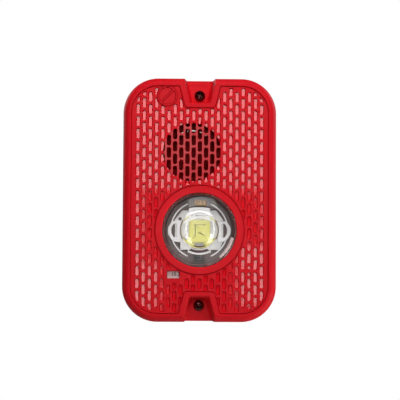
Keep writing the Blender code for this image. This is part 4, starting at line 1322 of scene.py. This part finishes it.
def make_wire_clip():
    """The wire clip with its row of beads, and specks of solder beside it."""
    clip = Extent("led_clip")
    base, front, x, z, half_x, half_z = clip.back, clip.front, clip.middle_x, clip.middle_z, clip.half_x, clip.half_z
    plate = rounded_outline(half_x, half_z, 1.3, 6, x, z)
    bodies = [((base, plate), (front - 0.9, plate), (front - 0.7, moved_in(plate, 0.2)))]
    for step in range(5):
        middle = x - half_x + 0.9 + step * (2 * half_x - 1.8) / 4
        bead = rounded_outline(0.52, half_z - 0.2, 0.5, 4, middle, z)
        bodies.append(((front - 1.0, bead), (front - 0.25, bead), (front, moved_in(bead, 0.25))))
    for bead_x, bead_z, radius in ((8.3, 15.2, 0.55), (9.2, 14.7, 0.4), (7.2, 15.6, 0.35)):
        bead = circle_outline(radius, 16, bead_x, LENS_Z + bead_z)
        bodies.append(((base, bead), (base + 0.5, bead), (base + 0.8, moved_in(bead, 0.2))))
    return object_from("wire_clip", lofted(*bodies))


def make_plug_socket():
    """The socket below the board, with three contact wells."""
    plug = Extent("led_connector")
    mesh = bmesh.new()
    add_block(mesh, plug.low_x, plug.high_x, plug.back, plug.front, plug.low_z, plug.high_z, 0.3)
    socket = object_from("plug_socket", mesh)
    mesh = bmesh.new()
    for x in (-1.6, 0.0, 1.6):
        z = plug.middle_z
        add_block(mesh, x - 0.5, x + 0.5, plug.front - 1.6, plug.front + 1.0, z - 0.6, z + 0.6, 0.1)
    cut(socket, mesh)
    return socket


def make_glint_wire():
    """Stretches of pale wire on the sounder's clamp ring, placed where glints show through the upper openings: the
    metal mirrors the lamps, and the pale pink colour is painted glint.
    """
    out = Extent("horn_clamp_ring").front + 0.05
    stretches = []
    for first, last in ((52.0, 60.0), (65.0, 70.0), (78.0, 92.0), (99.0, 103.0), (112.0, 124.0)):
        outline = arc_outline(12.4, 12.85, first, last, 8, HORN[0], HORN[1])
        stretches.append(((out, outline), (out + 0.4, outline)))
    return object_from("wire_with_painted_glints", lofted(*stretches))


# ---------------------------------------------------------------- screws

def make_screw(node, name, turn):
    """A pan-head screw with a cross recess and a rolled thread."""
    place = Extent(node)
    top, tip, head, middle_z = place.front, place.back, place.half_x, place.middle_z
    under = top - 2.3
    profile = [(0.6, tip), (1.2, tip + 0.5)]
    pitch = 0.7
    for step in range(int((under - 2.4 - tip - 0.6) / pitch)):
        out = tip + 0.6 + step * pitch
        profile += [(1.32, out), (1.72, out + 0.25), (1.72, out + 0.4), (1.32, out + 0.64)]
    profile += [(1.4, under - 1.6), (1.4, under), (head - 0.25, under + 0.02), (head, under + 0.3),
                (head, under + 1.0), (head - 0.25, under + 1.5), (head - 0.8, under + 1.95),
                (head - 1.6, under + 2.2), (0.3, top)]
    mesh = bmesh.new()
    add_turned(mesh, profile, 48, 0.0, middle_z)
    screw = object_from(name, mesh, 35.0)
    slots = []
    for angle in (math.radians(turn), math.radians(turn + 90.0)):
        across, up = math.cos(angle), math.sin(angle)
        slots.append([
            (out, [(x * across - z * up, middle_z + x * up + z * across)
                   for x, z in rounded_outline(half_long, half_wide, half_wide * 0.6, 3)])
            for out, half_long, half_wide in (
                (top - 1.7, 0.45, 0.24), (top - 1.0, 1.2, 0.34), (top + 0.4, 1.85, 0.46))])
    cut(screw, lofted(*slots))
    return screw


# ---------------------------------------------------------------- selector label

def make_numbers():
    """The light output values on the strip, one per position."""
    values = ("15", "30", "75", "95", "110", "135", "185")
    face = Extent("candela_label").front
    pitch = selector_travel() / (len(values) - 1)
    mesh = bmesh.new()
    for step, value in enumerate(values):
        curve = bpy.data.curves.new("value_" + value, "FONT")
        curve.body = value
        curve.size = 2.7 * MM
        curve.align_x = curve.align_y = "CENTER"
        curve.extrude = 0.02 * MM
        curve.offset = 0.04 * MM
        curve.space_character = 0.92
        text = linked("value_" + value, curve)
        text.rotation_euler = (math.radians(90.0), 0.0, 0.0)
        text.scale = (0.75 if len(value) > 2 else 1.1, 1.0, 1.0)
        text.location = ((WINDOW[0] + 0.35 + step * pitch) * MM, -(face + 0.02) * MM, (WINDOW[1] + 0.2) * MM)
        bpy.context.view_layer.update()
        graph = bpy.context.evaluated_depsgraph_get()
        data = bpy.data.meshes.new_from_object(text.evaluated_get(graph))
        data.transform(text.matrix_world)
        mesh.from_mesh(data)
        bpy.data.meshes.remove(data)
        bpy.data.objects.remove(text, do_unlink=True)
        bpy.data.curves.remove(curve)
    return object_from("light_output_values", mesh)


# ---------------------------------------------------------------- studio

FLOOR_HALF = 700.0
FLOOR_CORNER = 300.0
SOFT_BOX_Y = -0.53
CENTRE = (0.0, 0.0, 0.0)


def area_light(name, place, target, width, height, radiance, color=(1.0, 1.0, 1.0), mirrored=True):
    """A soft box in metres, hidden from the camera. One that isn't mirrored shows in no reflection."""
    data = bpy.data.lights.new(name, "AREA")
    data.shape = "RECTANGLE"
    data.size = width
    data.size_y = height
    data.energy = radiance * math.pi * width * height
    data.color = color
    lamp = linked(name, data)
    lamp.location = place
    aim = Vector(target) - Vector(place)
    lamp.rotation_euler = aim.to_track_quat("-Z", "Y").to_euler()
    lamp.visible_camera = False
    lamp.visible_glossy = mirrored


def make_world():
    """A white backdrop for the camera, and a softer glow for everything else."""
    world = bpy.data.worlds.new("studio")
    bpy.context.scene.world = world
    world.use_nodes = True
    tree = world.node_tree
    glow = tree.nodes["Background"]
    set_sockets(glow, Color=WHITE, Strength=0.06)
    backdrop = tree.nodes.new("ShaderNodeBackground")
    set_sockets(backdrop, Color=WHITE, Strength=1.0)
    blend_by_ray(tree, "Is Camera Ray", 1.0, glow, backdrop, "World Output")


def make_floor():
    """A round-cornered pale floor, which the camera sees lifted towards the white of the backdrop."""
    settings = bpy.context.scene.horn_strobe_studio
    mesh = bmesh.new()
    outline = rounded_outline(FLOOR_HALF, FLOOR_HALF, FLOOR_CORNER, 24)
    mesh.faces.new([mesh.verts.new((x * MM, z * MM - 0.2, settings.floor_height)) for x, z in outline])
    floor = object_from("studio_floor", mesh)
    pale = finish("pale_floor", settings.floor_color, 0.7, grain=60.0, bump=0.05, bump_depth=0.0002, spread=0.015)
    tree = pale.node_tree
    lift = tree.nodes.new("ShaderNodeEmission")
    set_sockets(lift, Color=WHITE)
    blend_by_ray(tree, "Is Camera Ray", 0.88, tree.nodes["Principled BSDF"], lift, "Material Output")
    floor.data.materials.append(pale)


def make_camera():
    settings = bpy.context.scene.horn_strobe_studio
    data = bpy.data.cameras.new("studio_camera")
    data.lens = settings.focal_length
    data.sensor_width = 36.0
    data.clip_start = 0.01
    camera = linked("studio_camera", data)
    rise, turn = settings.elevation, settings.azimuth
    away = Vector((math.sin(turn) * math.cos(rise), -math.cos(turn) * math.cos(rise), math.sin(rise)))
    target = Vector((settings.aim_x, -RIM_OUT * MM, settings.aim_z))
    camera.location = target + away * settings.camera_distance
    aim = (-away).to_track_quat("-Z", "Y")
    camera.rotation_euler = (aim.to_matrix() @ Matrix.Rotation(settings.roll, 3, "Z")).to_euler()
    bpy.context.scene.camera = camera


# ---------------------------------------------------------------- settings

def color_setting(name, description, default):
    return bpy.props.FloatVectorProperty(
        name=name, description=description, subtype="COLOR", size=3, min=0.0, max=1.0, default=default)


def length_setting(name, description, default):
    return bpy.props.FloatProperty(
        name=name, description=description, default=default, subtype="DISTANCE", unit="LENGTH")


def angle_setting(name, description, degrees):
    return bpy.props.FloatProperty(
        name=name, description=description, default=math.radians(degrees), subtype="ANGLE", unit="ROTATION")


class HornStrobeFinish(bpy.types.PropertyGroup):
    """Colours of the device."""

    cover_color: color_setting("Cover", "Colour of the front cover's plastic", (0.8, 0.003, 0.013))
    plate_color: color_setting("Wall plate", "Colour of the wall plate and the back cover", (0.5, 0.008, 0.014))
    lens_color: color_setting("Lens", "Tint of the clear lens", (0.99, 0.99, 0.99))
    emitter_color: color_setting("Emitter", "Colour of the light emitter's phosphor", (1.0, 0.97, 0.3))


class HornStrobeStudio(bpy.types.PropertyGroup):
    """Camera and floor."""

    focal_length: bpy.props.FloatProperty(
        name="Focal length", description="Focal length of the camera in millimetres on a 36 mm sensor",
        default=80.0, min=20.0, max=200.0)
    camera_distance: length_setting("Camera distance", "From the cover's rim to the camera", 0.4875)
    elevation: angle_setting("Elevation", "How far above the device the camera stands", -2.5)
    azimuth: angle_setting("Azimuth", "How far to the device's right the camera stands", -1.0)
    roll: angle_setting("Roll", "How far the camera leans", 0.3)
    aim_x: length_setting("Aim across", "Where the camera looks, across the device", 0.0002)
    aim_z: length_setting("Aim up", "Where the camera looks, up the device", -0.0004)
    floor_height: length_setting("Floor height", "Height of the pale floor below the device's middle", -0.28)
    floor_color: color_setting("Floor", "Colour of the floor", (0.6, 0.6, 0.6))


# ---------------------------------------------------------------- operators

class HORNSTROBE_OT_cover(bpy.types.Operator):
    """Build the front cover with its lattice of pockets, horn openings, lens ring, window and emblem"""

    bl_idname = "hornstrobe.cover"
    bl_label = "Front cover"

    def execute(self, context):
        finishes = cover_finishes(context.scene.horn_strobe_finish.cover_color)
        settle(make_front_cover(), finishes, "device", "cover_plastic", "front_cover")
        return {"FINISHED"}


class HORNSTROBE_OT_lens(bpy.types.Operator):
    """Build the clear domed lens"""

    bl_idname = "hornstrobe.lens"
    bl_label = "Lens"

    def execute(self, context):
        settings = context.scene.horn_strobe_finish
        glass = clear_finish("clear_lens", settings.lens_color, 0.0, 1.5)
        settle(make_lens(), glass, "device", "lens_clear", "lens")
        settle(make_gasket(), finish("dark_seal", (0.09, 0.01, 0.012), 0.5, grain=3600.0, spread=0.2, specular=0.2),
               "device", "black_plastic")
        return {"FINISHED"}


class HORNSTROBE_OT_light(bpy.types.Operator):
    """Build the light board, its emitter and the optic over it"""

    bl_idname = "hornstrobe.light"
    bl_label = "Light board and optic"

    def execute(self, context):
        settings = context.scene.horn_strobe_finish
        clear = clear_finish("clear_optic", (0.96, 0.95, 0.95), 0.0, 1.3)
        milky = clear_finish("milky_optic", (0.93, 0.915, 0.915), 0.2, 1.45, 0.2)
        settle(make_optic_dome(), clear, "device", "optic_clear", "led_optic")
        settle(make_optic_frame(), milky, "device", "optic_clear", "led_optic")
        # Painted shade: dark arcs where the optic's edges look dark
        edges = finish("shaded_optic_edge", (0.13, 0.07, 0.07), 0.5, grain=2600.0, spread=0.3, specular=0.3)
        settle(make_optic_shade_arcs(), edges, "device", "optic_clear")
        white = finish("white_board", (0.96, 0.95, 0.94), 0.4, grain=1500.0, bump=0.1, spread=0.02,
                       pattern="tracks", pattern_scale=160.0, pattern_color=(0.84, 0.83, 0.81))
        settle(make_board(), white, "device", "white_board", "led_board")
        phosphor = finish("phosphor", settings.emitter_color, 0.5, grain=3000.0, bump=0.2, spread=0.08)
        settle(make_emitter(), phosphor, "device", "led_phosphor", "led_emitter")
        bond = finish("bond_lines", (0.2, 0.18, 0.06), 0.5, grain=5000.0, spread=0.2)
        settle(make_die_lines(), bond, "device", "led_phosphor")
        gold = finish("gold_clip", (0.4, 0.25, 0.06), 0.42, metallic=1.0, grain=1800.0, bump=0.8, spread=0.4,
                      wear=0.4, pattern="speckle", pattern_scale=1500.0, pattern_color=(0.2, 0.1, 0.06))
        settle(make_wire_clip(), gold, "device", "brass", "led_clip")
        settle(make_plug_socket(), black_moulding(), "device", "black_plastic", "led_connector")
        dress(finish("tray_moulding", (0.16, 0.11, 0.105), 0.45, grain=3800.0, spread=0.12, wear=0.2),
              "strobe_tray")
        return {"FINISHED"}


class HORNSTROBE_OT_horn(bpy.types.Operator):
    """Finish the sounder's cup, ring, diaphragm and contacts, with painted shade in dark red in the cavity, and add a
    wire with painted glints
    """

    bl_idname = "hornstrobe.horn"
    bl_label = "Sounder"

    def execute(self, context):
        # Cup, ring, diaphragm and ceramic take a dark red that stands for the shaded cavity behind the openings:
        # painted shade
        red = (0.26, 0.0, 0.0)
        dress(finish("dark_cup", (0.24, 0.0, 0.0), 0.5, grain=3600.0, bump=0.3, spread=0.2, specular=0.04),
              "horn_cup")
        dress(finish("dark_ring", red, 0.45, grain=3600.0, spread=0.2, specular=0.05), "horn_clamp_ring")
        dress(finish("shade_darkened_diaphragm", red, 0.5, grain=2600.0, bump=0.2, specular=0.04, spread=0.2,
                     pattern="turned", pattern_scale=500.0), "piezo_diaphragm")
        dress(finish("shade_darkened_ceramic", (0.28, 0.001, 0.001), 0.5, grain=2600.0, bump=0.3, specular=0.06,
                     spread=0.1, pattern="speckle", pattern_scale=2400.0, pattern_color=(0.2, 0.01, 0.01)),
              "piezo_ceramic")
        dress(brass_finish(), *numbered("piezo_contact", 2))
        # Pale pink colour: painted glints, beside the lamps mirrored in the metal
        wire = finish("pale_wire_painted_glint", (0.9, 0.75, 0.74), 0.3, metallic=0.6, grain=1500.0, bump=0.6, spread=0.3)
        settle(make_glint_wire(), wire, "device", "plated_steel")
        return {"FINISHED"}


class HORNSTROBE_OT_selectors(bpy.types.Operator):
    """Finish the light output strip with its printed values, and the tone selector"""

    bl_idname = "hornstrobe.selectors"
    bl_label = "Selectors"

    def execute(self, context):
        # The film glows faintly: painted light that lifts it out of the shade of the window's recess
        film = finish("label_film", (0.97, 0.9, 0.89), 0.45, grain=1600.0, bump=0.05, spread=0.03, glow=0.32)
        dress(film, "candela_label")
        ink = finish("printed_values", (0.06, 0.012, 0.014), 0.5, grain=5000.0, bump=0.05, spread=0.2)
        settle(make_numbers(), ink, "candela_selector", "label_film")
        dress(black_moulding(), "candela_slider", "candela_switch", "tone_switch")
        dress(white_moulding(), "tone_rotor")
        return {"FINISHED"}


class HORNSTROBE_OT_screws(bpy.types.Operator):
    """Build the two captive mounting screws and finish their washers and the case screws"""

    bl_idname = "hornstrobe.screws"
    bl_label = "Screws"

    def execute(self, context):
        # The heads' dark red-brown is painted: shade from the deep scoops and the red cover mirrored round them
        dark = finish("screw_painted_dark_red", (0.11, 0.035, 0.03), 0.25, metallic=1.0, grain=2400.0, bump=0.2,
                      spread=0.2, wear=0.5, pattern="turned", pattern_scale=900.0,
                      pattern_color=(0.07, 0.02, 0.02))
        for side, turn in (("top", 20.0), ("bottom", 52.0)):
            screw = make_screw(f"mounting_screw_{side}", f"cross_head_screw_{side}", turn)
            settle(screw, dark, f"{side}_screw", "mounting_screw_steel", f"mounting_screw_{side}")
            dress(white_moulding(), f"captive_washer_{side}")
        dress(steel_finish(), *numbered("case_screw", 4))
        return {"FINISHED"}


class HORNSTROBE_OT_plate(bpy.types.Operator):
    """Finish the wall plate, the back cover and the wiring terminals"""

    bl_idname = "hornstrobe.plate"
    bl_label = "Wall plate and terminals"

    def execute(self, context):
        color = context.scene.horn_strobe_finish.plate_color
        dress(finish("plate_moulding", color, 0.5, grain=4200.0, bump=0.3, spread=0.08, wear=0.25, dust=0.08),
              "wall_plate")
        dress(finish("back_moulding", color, 0.42, grain=3800.0, spread=0.08, wear=0.25), "back_cover")
        dress(finish("terminal_moulding", (0.03, 0.032, 0.034), 0.45, grain=3800.0, spread=0.2, wear=0.4),
              "terminal_block")
        dress(steel_finish(), *numbered("terminal_screw", 4))
        dress(brass_finish(), *numbered("terminal_clip", 4), *numbered("contact_blade", 4))
        return {"FINISHED"}


class HORNSTROBE_OT_electronics(bpy.types.Operator):
    """Finish the circuit board and the parts on it"""

    bl_idname = "hornstrobe.electronics"
    bl_label = "Circuit board"

    def execute(self, context):
        dress(finish("green_board", (0.02, 0.17, 0.07), 0.35, grain=1500.0, bump=0.1, spread=0.1,
                     pattern="tracks", pattern_scale=120.0, pattern_color=(0.05, 0.3, 0.12)), "main_board")
        dress(finish("ferrite", (0.05, 0.048, 0.05), 0.5, grain=2000.0, bump=0.3, spread=0.2), "inductor_core")
        dress(finish("copper_winding", (0.6, 0.22, 0.07), 0.3, metallic=1.0, spread=0.15, pattern="wound",
                     pattern_bump=3.0, pattern_color=(0.3, 0.09, 0.03)), "inductor_winding")
        dress(finish("chip_epoxy", (0.03, 0.03, 0.032), 0.55, grain=3600.0, bump=0.3, spread=0.2),
              "control_chip", "driver_chip", "bridge_chip")
        dress(finish("capacitor_sleeve", (0.03, 0.035, 0.06), 0.3, grain=1400.0, bump=0.1, spread=0.15),
              *numbered("storage_capacitor", 2))
        return {"FINISHED"}


class HORNSTROBE_OT_studio(bpy.types.Operator):
    """Set the floor, the lights and the camera"""

    bl_idname = "hornstrobe.studio"
    bl_label = "Studio"

    def execute(self, context):
        make_world()
        make_floor()
        make_camera()
        context.scene.view_settings.view_transform = "Standard"
        overhead = (0.05, -0.28, 0.36)
        area_light("overhead_light", overhead, CENTRE, 0.4, 0.3, 3.1, mirrored=False)
        area_light("overhead_sheen_light", overhead, CENTRE, 0.4, 0.3, 1.0)
        for name, x, z, width, height in (
                ("upper_front_light", 0.0, 0.1, 0.24, 0.132),
                ("left_strip_light", -0.066, -0.032, 0.022, 0.13),
                ("left_low_light", -0.046, -0.074, 0.02, 0.05),
                ("right_strip_light", 0.088, -0.032, 0.018, 0.13),
                ("right_low_light", 0.066, -0.062, 0.028, 0.066)):
            area_light(name, (x, SOFT_BOX_Y, z), (x, 0.0, z), width, height, 4.8)
        area_light("left_back_light", (-0.55, 0.6, 0.35), CENTRE, 0.5, 0.5, 2.6)
        area_light("right_back_light", (0.6, 0.35, 0.3), CENTRE, 0.4, 0.5, 2.2)
        area_light("side_glint_light", (0.2, -0.068, -0.142), (0.0, -0.068, -0.017), 0.075, 0.17, 5.0,
                   (1.0, 0.82, 0.8))
        return {"FINISHED"}


OPERATORS = (
    HORNSTROBE_OT_cover,
    HORNSTROBE_OT_lens,
    HORNSTROBE_OT_light,
    HORNSTROBE_OT_horn,
    HORNSTROBE_OT_selectors,
    HORNSTROBE_OT_screws,
    HORNSTROBE_OT_plate,
    HORNSTROBE_OT_electronics,
    HORNSTROBE_OT_studio,
)


class HORNSTROBE_PT_sidebar(bpy.types.Panel):
    """Settings and pieces of the horn strobe"""

    bl_idname = "HORNSTROBE_PT_sidebar"
    bl_label = "Horn strobe"
    bl_space_type = "VIEW_3D"
    bl_region_type = "UI"
    bl_category = "Horn strobe"

    def draw(self, context):
        layout = self.layout
        for settings in (context.scene.horn_strobe_finish, context.scene.horn_strobe_studio):
            box = layout.box()
            for name in settings.__annotations__:
                box.prop(settings, name)
        for operator in OPERATORS:
            layout.operator(operator.bl_idname)


CLASSES = (HornStrobeFinish, HornStrobeStudio, *OPERATORS, HORNSTROBE_PT_sidebar)


def register():
    for one in CLASSES:
        bpy.utils.register_class(one)
    bpy.types.Scene.horn_strobe_finish = bpy.props.PointerProperty(type=HornStrobeFinish)
    bpy.types.Scene.horn_strobe_studio = bpy.props.PointerProperty(type=HornStrobeStudio)


def unregister():
    del bpy.types.Scene.horn_strobe_studio
    del bpy.types.Scene.horn_strobe_finish
    for one in reversed(CLASSES):
        bpy.utils.unregister_class(one)


def main():
    register()
    for operator in OPERATORS:
        group, name = operator.bl_idname.split(".")
        result = getattr(getattr(bpy.ops, group), name)()
        if result != {"FINISHED"}:
            raise RuntimeError(f"{operator.bl_label} wasn't built")


if __name__ == "__main__":
    main()
